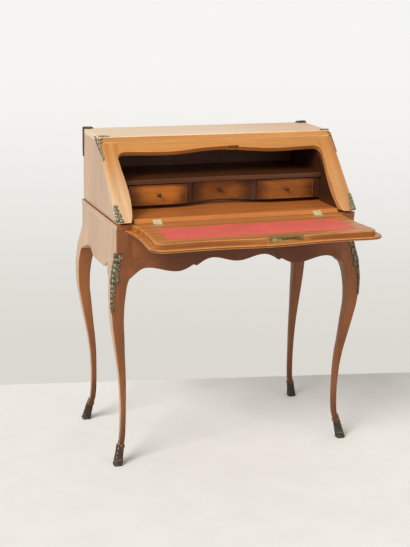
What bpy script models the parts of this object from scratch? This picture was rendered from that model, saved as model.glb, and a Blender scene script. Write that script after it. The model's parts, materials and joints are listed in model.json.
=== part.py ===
"""Slant-front writing desk on cabriole legs, with a leather-lined fall front, three small
drawers inside and bronze mounts.

Lengths are metres and +Z is up. The front faces -Y. Everything is worked out in a case frame
whose y = 0 lies on the slanted front where its stiles end, and one empty moves the whole desk
so that the middle of its outer box is over the origin. The fall front is drawn open.
"""

import math

import bmesh
import bpy
from mathutils import Matrix, Vector

# Outer case
HEIGHT = 0.950              # floor to the top board
CASE_WIDTH = 0.738          # upper case, across the side panels
CASE_DEPTH = 0.400          # upper case, front of the stiles' feet to the back
TOP_DEPTH = 0.190           # top board, from its front edge back
CASE_RISE = 0.213           # slanted front, from its stiles' feet to the top
WRITING_DROP = 0.0085       # stiles' feet down to the open writing surface and hinge line
SIDE_FLARE = 0.003          # how far the lower case stands out past the upper at each side
BACK_FLARE = 0.010          # and at the back
SEAM_HEIGHT = 0.007         # shadow groove between the upper and the lower case
SEAM_DEPTH = 0.002

# Boards
TOP_THICK = 0.015
SIDE_THICK = 0.018
BACK_THICK = 0.010
FRAME_THICK = 0.020
LINING_THICK = 0.032
CASE_FLOOR_THICK = 0.015
FLOOR_RAISE = 0.0125        # the inner floor over the writing surface
APRON_THICK = 0.020
SEAT = 0.0003               # air between two pieces that touch

# Opening in the slanted front
STILE_WAIST = 0.051         # widest part of a stile
FOOT_FLARE = 0.012          # how far the opening widens at the stile's foot
HEAD_FLARE = 0.008          # and near its head
CORNER_RADIUS = 0.024
RAIL_CENTRE = 0.0465        # top rail over the opening, at the middle
RAIL_DIP = 0.0595           # at the two low places
RAIL_CORNER = 0.0555        # at the corners
DIP_SHARE = 0.488           # middle to a low place, as a share of the case's half width

# Fall front
LID_THICK = 0.014           # part that lies inside the opening
LIP_THICK = 0.008
LIP_LAP = 0.017             # lip over the frame
LID_PLAY = 0.0015           # air round the part inside the opening
HINGE_PLAY = 0.0006         # air at the hinge edge
CHAMFER_AIR = 0.0008        # closed lid to the floor's sloping front edge
LEATHER_THICK = 0.0015
LEATHER_BACK = 0.062        # hinge line to the leather
LEATHER_FRONT = 0.034       # leather to the lid's free edge at its low places
LEATHER_SIDE = 0.038        # leather to the lid's side at its waist

# Hinges
HINGE_INSET = 0.119         # middle of a hinge from the case's side
HINGE_WIDTH = 0.026
LEAF_THICK = 0.0014
LID_LEAF = 0.024
FLOOR_LEAF = 0.0145
KNUCKLE_RADIUS = 0.0021
PIN_RADIUS = 0.0010
PIN_PLAY = 0.0002

# Lock
LOCK_LEFT = -0.008
LOCK_LENGTH = 0.104
LOCK_PLATE = 0.0015
LOCK_FLANGE = 0.020
LOCK_CASE_LENGTH = 0.064
LOCK_CASE_DEPTH = 0.030
LOCK_WALL = 0.0015
BOLT_LENGTH = 0.024
BOLT_WIDTH = 0.020
BOLT_THICK = 0.0045
BOLT_THROW = 0.013
BOLT_PLAY = 0.0004
KEY_INSET = 0.028           # key from the lock's left end
KEY_BACK = 0.0185           # key behind the lock plate
KEY_SHANK = 0.0020
KEY_PLAY = 0.0004
KEY_BIT = 0.0062
BOW_RADIUS = 0.0085
BOW_WIRE = 0.0017
ESCUTCHEON_THICK = 0.0012
STRIKE_THICK = 0.0012

# Drawer unit
UNIT_FRONT = 0.150          # side drawers, behind the stiles' feet
UNIT_RECESS = 0.038         # middle drawer behind the side ones
UNIT_SHARE = 0.46           # half width of the recess, as a share of the case's half width
SHELF_HEIGHT = 0.088        # inner floor to the top of the shelf
SHELF_THICK = 0.013
SHELF_RECESS = 0.012
SHELF_NOSE = 0.004          # shelf over the drawers
BEARER_THICK = 0.0097
DIVIDER_SHARE = 0.277       # middle to a divider's centre, as a share of the half width
DIVIDER_THICK = 0.0175
END_POST = 0.021            # width of the post beside a side drawer
END_THICK = 0.012
END_DEPTH = 0.020
DRAWER_PLAY = 0.0010
DRAWER_FRONT = 0.012
DRAWER_WALL = 0.006
DRAWER_TAIL = 0.012         # air behind a shut drawer
KNOB_HEAD = 0.0062
KNOB_NECK = 0.0030
KNOB_LENGTH = 0.0145

# Legs and aprons
POST = 0.046
APRON_END = 0.1317          # table frame's top down to where an apron meets its leg
SWELL_START = 0.0547        # table frame's top down to where a knee starts to swell
ARRIS = 0.0045
BACK_RAIL = 0.100

# Lower edge of an apron from its middle to its end: the place as a share of the half length,
# the depth there, and the curve that leads on from it
FRONT_SCALLOPS = [(0.0, 0.1117, "swing"), (0.2456, 0.0967, "fall"), (0.3961, 0.1177, "line"),
                  (0.4268, 0.1137, "land"), (0.5742, 0.1310, "swing"), (0.875, 0.1137, "fall"),
                  (1.0, APRON_END, "end")]
SIDE_SCALLOPS = [(0.0, 0.1375, "line"), (0.36, 0.1375, "swing"), (0.72, 0.1127, "fall"),
                 (1.0, APRON_END, "end")]
SCALLOP_STEPS = 8           # points along one curve

# Bronze mounts
MOUNT_THICK = 0.003
SABOT_HEIGHT = 0.078
SABOT_WALL = 0.0022
KNEE_TOP = 0.066            # table frame's top down to the knee mount
KNEE_LENGTH = 0.175
KNEE_ARM = 0.018
HEAD_LENGTH = 0.085
HEAD_ARM = 0.017
BACK_LENGTH = 0.085
BACK_ARM = 0.014
CAP_LENGTH = 0.032
CAP_DEPTH = 0.014
STILE_MOUNT = 0.052
STILE_ARM = 0.020

# Places worked out from the sizes above
HALF = CASE_WIDTH / 2
LOW_HALF = HALF + SIDE_FLARE
DIP_PLACE = HALF * DIP_SHARE
HINGE_PLACE = HALF - HINGE_INSET
UNIT_SPAN = HALF * UNIT_SHARE
DIVIDER_PLACE = HALF * DIVIDER_SHARE
STILE_FOOT = HEIGHT - CASE_RISE
WRITING_HEIGHT = STILE_FOOT - WRITING_DROP
RUN = CASE_DEPTH - TOP_DEPTH
SLOPE = math.atan2(CASE_RISE, RUN)
SLOPE_LENGTH = math.hypot(CASE_RISE, RUN)
COS, SIN = math.cos(SLOPE), math.sin(SLOPE)
HINGE_Y = (LID_THICK + COS * (WRITING_HEIGHT - STILE_FOOT)) / SIN
HINGE_S = HINGE_Y * COS + (WRITING_HEIGHT - STILE_FOOT) * SIN
LOW_FRONT = HINGE_Y + HINGE_PLAY
LOW_BACK = CASE_DEPTH + BACK_FLARE
CASE_FLOOR_TOP = STILE_FOOT - SEAM_HEIGHT
FRAME_TOP = CASE_FLOOR_TOP - CASE_FLOOR_THICK - SEAT
FLOOR_TOP = WRITING_HEIGHT + FLOOR_RAISE
SHELF_TOP = FLOOR_TOP + SHELF_HEIGHT
INSIDE_BACK = CASE_DEPTH - BACK_THICK - 0.0015
LINING_FACE = HALF - SIDE_THICK - SEAT - LINING_THICK
WAIST_HALF = HALF - STILE_WAIST
LID_SEAT = LID_THICK + SEAT
LID_BACK = LID_SEAT + LIP_THICK
CHAMFER_N = -(LID_THICK + CHAMFER_AIR)

# Height of a leg as a share of its free length, then how far its outer faces stand out past
# the table frame and how far its inner faces stand in from it
LEG_STATIONS = [
    (0.000, 0.0050, 0.0180), (0.081, -0.0070, 0.0255), (0.154, -0.0175, 0.0340),
    (0.266, -0.0190, 0.0360), (0.377, -0.0167, 0.0357), (0.480, -0.0110, 0.0330),
    (0.557, -0.0040, 0.0290), (0.686, 0.0085, 0.0235), (0.784, 0.0165, 0.0195),
    (0.849, 0.0185, 0.0205), (0.892, 0.0187, 0.0230), (0.923, 0.0180, 0.0255),
    (0.960, 0.0160, 0.0300), (0.986, 0.0145, 0.0370), (1.000, 0.0138, POST),
]
KNEE_OUT = max(station[1] for station in LEG_STATIONS)

for item in list(bpy.data.objects):
    bpy.data.objects.remove(item)

desk_parts = bpy.data.collections.new("slant_front_desk")
bpy.context.scene.collection.children.link(desk_parts)
cutter_parts = bpy.data.collections.new("cutters")
bpy.context.scene.collection.children.link(cutter_parts)

# Finishes as colour, roughness and metallic
WALNUT = ((0.30, 0.14, 0.06), 0.38, 0.0)
PALE = ((0.48, 0.27, 0.14), 0.38, 0.0)
DARK = ((0.14, 0.055, 0.028), 0.45, 0.0)
LEATHER = ((0.55, 0.10, 0.06), 0.6, 0.0)
BRONZE = ((0.26, 0.22, 0.13), 0.45, 0.9)
BRASS = ((0.62, 0.47, 0.22), 0.35, 1.0)
STEEL = ((0.36, 0.35, 0.33), 0.35, 1.0)


def frame_of(origin, x_axis, y_axis, z_axis):
    """Matrix that carries local axes onto the three directions given."""
    columns = [Vector(axis).to_4d() for axis in (x_axis, y_axis, z_axis)]
    for column in columns:
        column.w = 0.0
    matrix = Matrix(columns + [Vector(origin).to_4d()])
    matrix.transpose()
    return matrix


CASE = Matrix.Identity(4)
SLANT = frame_of((0, 0, STILE_FOOT), (1, 0, 0), (0, COS, SIN), (0, -SIN, COS))
LID = frame_of((0, HINGE_Y, WRITING_HEIGHT), (1, 0, 0), (0, -1, 0), (0, 0, -1))


def plan(z):
    """Outline in x and y, thick upward from z."""
    return Matrix.Translation((0, 0, z))


def elevation(y):
    """Outline in x and z, thick forward from y."""
    return frame_of((0, y, 0), (1, 0, 0), (0, 0, 1), (0, -1, 0))


def profile(x):
    """Outline in y and z, thick toward +x from x."""
    return frame_of((x, 0, 0), (0, 1, 0), (0, 0, 1), (1, 0, 0))


def from_bmesh(bm):
    """Mesh out of an edit mesh, welded and with its faces turned outward."""
    bmesh.ops.remove_doubles(bm, verts=bm.verts, dist=0.00001)
    bmesh.ops.recalc_face_normals(bm, faces=bm.faces)
    mesh = bpy.data.meshes.new("shape")
    bm.to_mesh(mesh)
    bm.free()
    return mesh


def plate(outline, thickness):
    """Flat outline made thick, from z = 0 up."""
    curve = bpy.data.curves.new("outline", "CURVE")
    curve.dimensions = "2D"
    curve.fill_mode = "BOTH"
    curve.extrude = thickness / 2
    spline = curve.splines.new("POLY")
    spline.points.add(len(outline) - 1)
    for point, (x, y) in zip(spline.points, outline):
        point.co = (x, y, 0, 1)
    spline.use_cyclic_u = True
    holder = bpy.data.objects.new("outline", curve)
    bpy.context.scene.collection.objects.link(holder)
    bpy.context.view_layer.update()
    mesh = bpy.data.meshes.new_from_object(
        holder.evaluated_get(bpy.context.evaluated_depsgraph_get()))
    bpy.data.objects.remove(holder)
    bpy.data.curves.remove(curve)
    bm = bmesh.new()
    bm.from_mesh(mesh)
    bpy.data.meshes.remove(mesh)
    bmesh.ops.translate(bm, verts=bm.verts, vec=(0, 0, thickness / 2))
    return from_bmesh(bm)


def block(low, high):
    """Box between two corners."""
    low, high = Vector(low), Vector(high)
    bm = bmesh.new()
    bmesh.ops.create_cube(bm, size=1.0)
    bmesh.ops.scale(bm, verts=bm.verts, vec=high - low)
    bmesh.ops.translate(bm, verts=bm.verts, vec=(low + high) / 2)
    return from_bmesh(bm)


def turned(points, steps):
    """Profile of radius and height turned about z."""
    bm = bmesh.new()
    verts = [bm.verts.new((radius, 0, height)) for radius, height in points]
    edges = [bm.edges.new(pair) for pair in zip(verts, verts[1:])]
    bmesh.ops.spin(bm, geom=verts + edges, axis=(0, 0, 1), cent=(0, 0, 0),
                   angle=math.tau, steps=steps, use_merge=True)
    return from_bmesh(bm)


def rod(radius, low, high, steps=14):
    """Cylinder about z."""
    return turned([(0, low), (radius, low), (radius, high), (0, high)], steps)


def loft(rings):
    """Closed skin over a row of rings that have the same number of points."""
    bm = bmesh.new()
    rows = [[bm.verts.new(point) for point in ring] for ring in rings]
    count = len(rows[0])
    for low, high in zip(rows, rows[1:]):
        for i in range(count):
            j = (i + 1) % count
            bm.faces.new((low[i], low[j], high[j], high[i]))
    bm.faces.new(rows[0])
    bm.faces.new(rows[-1])
    return from_bmesh(bm)


def mirrored(mesh):
    """Copy of a mesh reflected across x = 0."""
    bm = bmesh.new()
    bm.from_mesh(mesh)
    bmesh.ops.scale(bm, verts=bm.verts, vec=(-1, 1, 1))
    return from_bmesh(bm)


def placed(mesh, matrix):
    """Mesh moved by a matrix."""
    mesh.transform(matrix)
    return mesh


def trimmed(mesh, point, normal):
    """Mesh with everything on the normal's side of a plane taken off and the cut closed."""
    bm = bmesh.new()
    bm.from_mesh(mesh)
    geometry = bm.verts[:] + bm.edges[:] + bm.faces[:]
    bmesh.ops.bisect_plane(bm, geom=geometry, dist=1e-7, plane_co=point, plane_no=normal,
                           clear_outer=True)
    bmesh.ops.holes_fill(bm, edges=[edge for edge in bm.edges if edge.is_boundary])
    return from_bmesh(bm)


def empty(name, matrix, parent=None):
    """Empty that carries a group."""
    holder = bpy.data.objects.new(name, None)
    holder.empty_display_size = 0.03
    desk_parts.objects.link(holder)
    holder.parent = parent
    holder.matrix_local = matrix
    return holder


# Middle of the outer box from front to back: the open lid's lip and the back knees
REACH = SLOPE_LENGTH - RAIL_CENTRE + LIP_LAP - HINGE_S
MIDDLE_Y = (HINGE_Y - REACH + LOW_BACK + KNEE_OUT) / 2
desk = empty("desk", Matrix.Translation((0, -MIDDLE_Y, 0)))
lid_axis = empty("lid_axis", Matrix.Translation((0, HINGE_Y, WRITING_HEIGHT)), desk)
PLACES = {"desk": CASE, "lid_axis": Matrix.Translation((0, HINGE_Y, WRITING_HEIGHT))}


def group(name, matrix, parent):
    """Empty on a joint, with its place in the case frame noted."""
    holder = empty(name, PLACES[parent.name].inverted() @ matrix, parent)
    PLACES[name] = matrix
    return holder


def piece(name, mesh, matrix, finish, parent=desk):
    """One named sub-part with its own material."""
    colour, roughness, metallic = finish
    material = bpy.data.materials.new(name)
    material.use_nodes = True
    shader = material.node_tree.nodes["Principled BSDF"]
    shader.inputs["Base Color"].default_value = (*colour, 1.0)
    shader.inputs["Roughness"].default_value = roughness
    shader.inputs["Metallic"].default_value = metallic
    mesh.name = name
    mesh.materials.append(material)
    thing = bpy.data.objects.new(name, mesh)
    desk_parts.objects.link(thing)
    thing.parent = parent
    thing.matrix_local = PLACES[parent.name].inverted() @ matrix
    return thing


def worked(thing, mesh, matrix, operation="DIFFERENCE", parent=desk):
    """Cut a shape out of a sub-part, or join one to it."""
    tool = bpy.data.objects.new("tool_" + thing.name, mesh)
    cutter_parts.objects.link(tool)
    tool.parent = parent
    tool.matrix_local = PLACES[parent.name].inverted() @ matrix
    tool.hide_render = True
    tool.display_type = "WIRE"
    modifier = thing.modifiers.new(operation.lower(), "BOOLEAN")
    modifier.operation = operation
    modifier.solver = "EXACT"
    modifier.object = tool


def eased(stations, place):
    """Values of a table at a place, on a curve that never swings past its stations."""
    for i in range(len(stations) - 1):
        if place <= stations[i + 1][0]:
            break
    before, after = stations[i], stations[i + 1]
    span = after[0] - before[0]
    share = min(max((place - before[0]) / span, 0.0), 1.0)

    def rise(k, column):
        return (stations[k + 1][column] - stations[k][column]) / (
            stations[k + 1][0] - stations[k][0])

    def tangent(k, column):
        if k == 0:
            return rise(0, column)
        if k == len(stations) - 1:
            return rise(k - 1, column)
        first, second = rise(k - 1, column), rise(k, column)
        return 0.0 if first * second <= 0 else 2 * first * second / (first + second)

    values = []
    for column in range(1, len(before)):
        a, b = before[column], after[column]
        ta, tb = tangent(i, column) * span, tangent(i + 1, column) * span
        s2, s3 = share ** 2, share ** 3
        values.append((2 * s3 - 3 * s2 + 1) * a + (s3 - 2 * s2 + share) * ta
                      + (3 * s2 - 2 * s3) * b + (s3 - s2) * tb)
    return values


def swing(a, b, share):
    """Cosine step from a to b."""
    return a + (b - a) * 0.5 * (1 - math.cos(math.pi * share))


# Opening of the slanted front

SIDE_END = SLOPE_LENGTH - RAIL_CORNER - CORNER_RADIUS
SIDE_STATIONS = [(0.0, FOOT_FLARE), (0.14, FOOT_FLARE * 0.28), (0.36, 0.0),
                 (0.60, HEAD_FLARE * 0.10), (0.84, HEAD_FLARE * 0.72), (1.0, HEAD_FLARE)]


def side_half(s):
    """Half width of the opening at a place up the slope."""
    return WAIST_HALF + eased(SIDE_STATIONS, s / SIDE_END)[0]


def top_edge(x):
    """Upper edge of the opening."""
    x = abs(x)
    dip = SLOPE_LENGTH - RAIL_DIP
    if x <= DIP_PLACE:
        return swing(SLOPE_LENGTH - RAIL_CENTRE, dip, x / DIP_PLACE)
    shoulder = WAIST_HALF + HEAD_FLARE - CORNER_RADIUS
    share = min((x - DIP_PLACE) / (shoulder - DIP_PLACE), 1.0)
    return swing(dip, SLOPE_LENGTH - RAIL_CORNER, share)


def half_outline(inset, foot):
    """Right half of the opening from its foot to the middle of its top, moved inward."""
    points = [(side_half(max(foot, 0.0)) - inset, foot)]
    for i in range(11):
        s = SIDE_END * i / 10
        if s > foot + 0.004:
            points.append((side_half(s) - inset, s))
    radius = CORNER_RADIUS - inset
    middle = (side_half(SIDE_END) - inset - radius, SIDE_END)
    for i in range(1, 7):
        turn = math.pi / 2 * i / 6
        points.append((middle[0] + radius * math.cos(turn), middle[1] + radius * math.sin(turn)))
    shoulder = WAIST_HALF + HEAD_FLARE - CORNER_RADIUS
    for i in range(1, 9):
        x = shoulder + (DIP_PLACE - shoulder) * i / 8
        points.append((x, top_edge(x) - inset))
    for i in range(1, 11):
        x = DIP_PLACE * (1 - i / 10)
        points.append((x, top_edge(x) - inset))
    return points


def whole(half):
    """Both halves of an outline that ends on x = 0."""
    return half + [(-x, y) for x, y in reversed(half[:-1])]


OPENING = half_outline(0.0, 0.0)
JOINT = min(range(len(OPENING)),
            key=lambda i: abs(OPENING[i][1] - SIDE_END - CORNER_RADIUS * math.sin(math.pi / 4)))


def upper_case():
    """Side panels, linings, back, top and the slanted front frame."""
    under_top = HEIGHT - TOP_THICK - SEAT

    def behind_frame(z):
        return (FRAME_THICK + SEAT + COS * (z - STILE_FOOT)) / SIN

    for name, sign in (("left", -1), ("right", 1)):
        low = CASE_FLOOR_TOP + SEAT
        outline = [(behind_frame(low), low), (CASE_DEPTH, low),
                   (CASE_DEPTH, under_top), (behind_frame(under_top), under_top)]
        panel = piece("side_panel_" + name, plate(outline, SIDE_THICK),
                      profile(HALF - SIDE_THICK if sign > 0 else -HALF), PALE)
        reach = sorted((sign * (HALF - SEAM_DEPTH), sign * (HALF + 0.01)))
        worked(panel, block((reach[0], -0.05, low - 0.01),
                            (reach[1], CASE_DEPTH + 0.05, STILE_FOOT)), CASE)
        start = LINING_FACE if sign > 0 else -LINING_FACE - LINING_THICK
        low = CASE_FLOOR_TOP + SEAT
        outline = [(behind_frame(low), low), (INSIDE_BACK - SEAT, low),
                   (INSIDE_BACK - SEAT, under_top), (behind_frame(under_top), under_top)]
        piece("lining_" + name, plate(outline, LINING_THICK), profile(start), DARK)

    inner = HALF - SIDE_THICK - SEAT
    piece("back_panel", block((-inner, INSIDE_BACK, CASE_FLOOR_TOP + SEAT),
                              (inner, INSIDE_BACK + BACK_THICK, under_top)), CASE, DARK)
    low = HEIGHT - TOP_THICK
    outline = [(RUN - TOP_THICK * COS / SIN, low), (CASE_DEPTH, low),
               (CASE_DEPTH, HEIGHT), (RUN, HEIGHT)]
    piece("top_board", plate(outline, CASE_WIDTH), profile(-HALF), PALE)

    # Stiles and rail run past their ends and are trimmed level
    beyond = SLOPE_LENGTH + 0.03
    joint = OPENING[JOINT]
    inner_edge = OPENING[:JOINT + 1]
    outline = [(HALF, -0.03), (HALF, beyond), (joint[0], beyond)] + inner_edge[::-1] + [
        (inner_edge[0][0], -0.03)]
    stile = placed(plate(outline, FRAME_THICK), SLANT @ Matrix.Translation((0, 0, -FRAME_THICK)))
    stile = trimmed(stile, (0, 0, under_top), (0, 0, 1))
    stile = trimmed(stile, (0, 0, STILE_FOOT), (0, 0, -1))
    piece("front_stile_left", mirrored(stile), CASE, WALNUT)
    piece("front_stile_right", stile, CASE, WALNUT)

    half = [(joint[0] - SEAT, beyond), (joint[0] - SEAT, joint[1])] + OPENING[JOINT + 1:]
    rail = placed(plate(whole(half), FRAME_THICK),
                  SLANT @ Matrix.Translation((0, 0, -FRAME_THICK)))
    return piece("front_top_rail", trimmed(rail, (0, 0, under_top), (0, 0, 1)), CASE, WALNUT)


def floors():
    """Case floor and the raised inner floor, both ending on one sloping front edge."""
    def chamfer(z):
        return (LID_THICK + CHAMFER_AIR + COS * (z - STILE_FOOT)) / SIN

    low, high = CASE_FLOOR_TOP - CASE_FLOOR_THICK, CASE_FLOOR_TOP
    nose = max(low + 0.001, STILE_FOOT + (LOW_FRONT * SIN - LID_THICK - CHAMFER_AIR) / COS)
    outline = [(LOW_FRONT, low), (LOW_BACK, low), (LOW_BACK, high), (chamfer(high), high),
               (chamfer(nose), nose)]
    case_floor = piece("case_floor", plate(outline, 2 * LOW_HALF), profile(-LOW_HALF), WALNUT)
    low, high = CASE_FLOOR_TOP + SEAT, FLOOR_TOP
    outline = [(chamfer(low), low), (INSIDE_BACK - SEAT, low), (INSIDE_BACK - SEAT, high),
               (chamfer(high), high)]
    width = LINING_FACE - SEAT
    inner_floor = piece("inner_floor", plate(outline, 2 * width), profile(-width), WALNUT)
    return case_floor, inner_floor


def drawer_line(x, recess=UNIT_RECESS):
    """Front line of the drawer unit, set back smoothly toward its middle."""
    return UNIT_FRONT + swing(recess, 0.0, min(abs(x) / UNIT_SPAN, 1.0))


def front_outline(x0, x1, back, recess=UNIT_RECESS, shift=0.0, count=14):
    """Outline in plan with the serpentine line in front and a straight back."""
    points = []
    for i in range(count + 1):
        x = x0 + (x1 - x0) * i / count
        points.append((x, drawer_line(x, recess) + shift))
    return points + [(x1, back), (x0, back)]


def drawer_unit():
    """Bearer, shelf, dividers, end panels and three drawers."""
    low = FLOOR_TOP + SEAT
    bearer_top = low + BEARER_THICK
    shelf_low = SHELF_TOP - SHELF_THICK
    width = LINING_FACE - SEAT
    back = INSIDE_BACK - SEAT
    bearer_front = UNIT_FRONT + UNIT_RECESS + 0.001
    piece("drawer_bearer", block((-width, bearer_front, low), (width, back, bearer_top)),
          CASE, DARK)
    piece("shelf", plate(front_outline(-width, width, back, SHELF_RECESS, -SHELF_NOSE, 28),
                         SHELF_THICK), plan(shelf_low), DARK)
    low, tall = bearer_top + SEAT, shelf_low - bearer_top - 2 * SEAT
    near, far = DIVIDER_PLACE - DIVIDER_THICK / 2, DIVIDER_PLACE + DIVIDER_THICK / 2
    divider = plate(front_outline(near, far, back, shift=0.002, count=4), tall)
    piece("divider_left", mirrored(divider), plan(low), DARK)
    piece("divider_right", divider, plan(low), DARK)
    edge = width - END_POST
    front = UNIT_FRONT + 0.003
    outline = [(edge, front), (width, front), (width, front + END_DEPTH),
               (edge + END_THICK, front + END_DEPTH), (edge + END_THICK, back), (edge, back)]
    post = plate(outline, tall)
    piece("end_panel_left", mirrored(post), plan(low), DARK)
    piece("end_panel_right", post, plan(low), DARK)

    box_low, box_high = bearer_top + SEAT, shelf_low - 0.004
    front_low, front_high = bearer_top + 0.0015, shelf_low - 0.003
    for name, x0, x1 in (("left", -edge + DRAWER_PLAY, -far - DRAWER_PLAY),
                         ("middle", -near + DRAWER_PLAY, near - DRAWER_PLAY),
                         ("right", far + DRAWER_PLAY, edge - DRAWER_PLAY)):
        middle = (x0 + x1) / 2
        line = [drawer_line(x0 + (x1 - x0) * i / 14) for i in range(15)]
        face = max(line) + DRAWER_FRONT
        slide = group("drawer_slide_" + name, Matrix.Translation((middle, face, box_low)), desk)
        piece("drawer_front_" + name, plate(front_outline(x0, x1, face), front_high - front_low),
              plan(front_low), DARK, slide)
        rear = back - DRAWER_TAIL
        box = piece("drawer_box_" + name, block((x0, face + SEAT, box_low), (x1, rear, box_high)),
                    CASE, PALE, slide)
        worked(box, block((x0 + DRAWER_WALL, face + SEAT + DRAWER_WALL, box_low + DRAWER_WALL),
                          (x1 - DRAWER_WALL, rear - DRAWER_WALL, box_high + 0.01)),
               CASE, parent=slide)
        knob = turned([(0, SEAT), (KNOB_NECK * 1.5, SEAT), (KNOB_NECK * 1.4, SEAT + 0.0016),
                       (KNOB_NECK, KNOB_LENGTH * 0.28), (KNOB_NECK, KNOB_LENGTH * 0.42),
                       (KNOB_HEAD * 0.9, KNOB_LENGTH * 0.56), (KNOB_HEAD, KNOB_LENGTH * 0.72),
                       (KNOB_HEAD * 0.8, KNOB_LENGTH * 0.9), (KNOB_HEAD * 0.4, KNOB_LENGTH * 0.98),
                       (0, KNOB_LENGTH)], 14)
        seat = min(drawer_line(middle + KNOB_NECK * 1.5), drawer_line(middle - KNOB_NECK * 1.5),
                   drawer_line(middle))
        place = frame_of((middle, seat, (front_low + front_high) / 2),
                         (1, 0, 0), (0, 0, 1), (0, -1, 0))
        piece("drawer_knob_" + name, knob, place, DARK, slide)


def fall_front(case_floor, inner_floor, rail):
    """Lid with its leather, hinges, lock and key."""
    far = [(x, s - HINGE_S) for x, s in half_outline(LID_PLAY, HINGE_S + HINGE_PLAY)]
    lap = [(x, s - HINGE_S) for x, s in half_outline(-LIP_LAP, HINGE_S + HINGE_PLAY)]
    lid = piece("lid_board", plate(whole(far), LID_SEAT + 0.001), LID, WALNUT, lid_axis)
    worked(lid, plate(whole(lap), LIP_THICK), LID @ Matrix.Translation((0, 0, LID_SEAT)),
           "UNION", lid_axis)

    # Leather in a shallow bed
    half = WAIST_HALF - LID_PLAY - LEATHER_SIDE
    near = LEATHER_BACK
    reach = SLOPE_LENGTH - RAIL_DIP - LID_PLAY - HINGE_S - LEATHER_FRONT
    worked(lid, block((-half - SEAT, near - SEAT, -0.01),
                      (half + SEAT, reach + SEAT, LEATHER_THICK + SEAT)), LID, parent=lid_axis)
    piece("lid_leather", block((-half, near, 0), (half, reach, LEATHER_THICK)), LID, LEATHER,
          lid_axis)

    # Each leaf lies flush in its board and carries its share of the knuckle
    chamfer = SLANT @ Matrix.Translation((0, HINGE_S, CHAMFER_N))
    third = HINGE_WIDTH / 3
    clear = KNUCKLE_RADIUS + 0.0008
    across = Matrix.Rotation(math.pi / 2, 4, "Y")
    axes = {"lid": LID, "floor": SLANT @ Matrix.Translation((0, HINGE_S, -LID_THICK))}
    trim = 0.00015
    for name, x in (("left", -HINGE_PLACE), ("right", HINGE_PLACE)):
        shares = {"lid": [(x - third / 2 + SEAT, x + third / 2 - SEAT)],
                  "floor": [(x - HINGE_WIDTH / 2 + trim, x - third / 2 - SEAT),
                            (x + third / 2 + SEAT, x + HINGE_WIDTH / 2 - trim)]}
        bed = (x - HINGE_WIDTH / 2 - SEAT, x + HINGE_WIDTH / 2 + SEAT)
        # A leaf's outer face is its frame's z = 0, and down tells which way its wood lies
        for side, matrix, length, parent, down, woods in (
                ("lid", LID, LID_LEAF, lid_axis, 1, [lid]),
                ("floor", chamfer, FLOOR_LEAF, desk, -1, [case_floor, inner_floor])):
            low, high = sorted((0.0, down * LEAF_THICK))
            leaf = piece(f"hinge_leaf_{side}_{name}",
                         block((x - HINGE_WIDTH / 2, clear, low),
                               (x + HINGE_WIDTH / 2, length, high)), matrix, BRASS, parent)
            for start, end in shares[side]:
                barrel = placed(rod(KNUCKLE_RADIUS, start, end, 12), across)
                worked(leaf, block((start + trim, 0.0003, low + trim),
                                   (end - trim, clear + 0.001, high - trim)),
                       matrix, "UNION", parent)
                worked(leaf, barrel, axes[side], "UNION", parent)
            bore = placed(rod(PIN_RADIUS + PIN_PLAY, x - HINGE_WIDTH, x + HINGE_WIDTH, 12), across)
            worked(leaf, bore, axes[side], parent=parent)
            # Beds for the leaf and for the knuckle in the wood
            leaf_bed = sorted((down * (LEAF_THICK + SEAT), -down * 0.01))
            knuckle_bed = sorted((down * (clear + CHAMFER_AIR), -down * 0.011))
            for wood in woods:
                worked(wood, block((bed[0], -0.004, leaf_bed[0]),
                                   (bed[1], length + SEAT, leaf_bed[1])), matrix, parent=parent)
                worked(wood, block((bed[0] + trim, -0.005, knuckle_bed[0]),
                                   (bed[1] - trim, clear, knuckle_bed[1])), matrix, parent=parent)
        pin = placed(rod(PIN_RADIUS, x - HINGE_WIDTH / 2, x + HINGE_WIDTH / 2, 12), across)
        piece("hinge_pin_" + name, pin, axes["floor"], STEEL)

    # Lock let into the free edge, with its plate bent over the writing surface
    x0, x1 = LOCK_LEFT, LOCK_LEFT + LOCK_LENGTH
    face = min(top_edge(x0), top_edge(x1)) - LID_PLAY - HINGE_S - SEAT
    inside = face - LOCK_PLATE
    low, high = LOCK_PLATE + 0.0022, LID_THICK - 0.0015
    case_x = (x0 + 0.006, x0 + 0.006 + LOCK_CASE_LENGTH)
    lock = piece("lock", block((x0, inside, 0), (x1, face, LID_THICK - 0.0003)), LID, BRASS,
                 lid_axis)
    worked(lock, block((x0, face - LOCK_FLANGE, 0), (x1, inside + LOCK_PLATE / 2, LOCK_PLATE)),
           LID, "UNION", lid_axis)
    worked(lock, block((case_x[0], inside - LOCK_CASE_DEPTH, low),
                       (case_x[1], inside + LOCK_PLATE / 2, high)), LID, "UNION", lid_axis)
    worked(lid, block((x0 - SEAT, inside - SEAT, -0.01), (x1 + SEAT, face + 0.03, LID_THICK)),
           LID, parent=lid_axis)
    worked(lid, block((x0 - SEAT, face - LOCK_FLANGE - SEAT, -0.01),
                      (x1 + SEAT, inside + 0.01, LOCK_PLATE + SEAT)), LID, parent=lid_axis)
    worked(lid, block((case_x[0] - SEAT, inside - LOCK_CASE_DEPTH - SEAT, low - SEAT),
                      (case_x[1] + SEAT, inside + 0.01, high + SEAT)), LID, parent=lid_axis)

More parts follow.
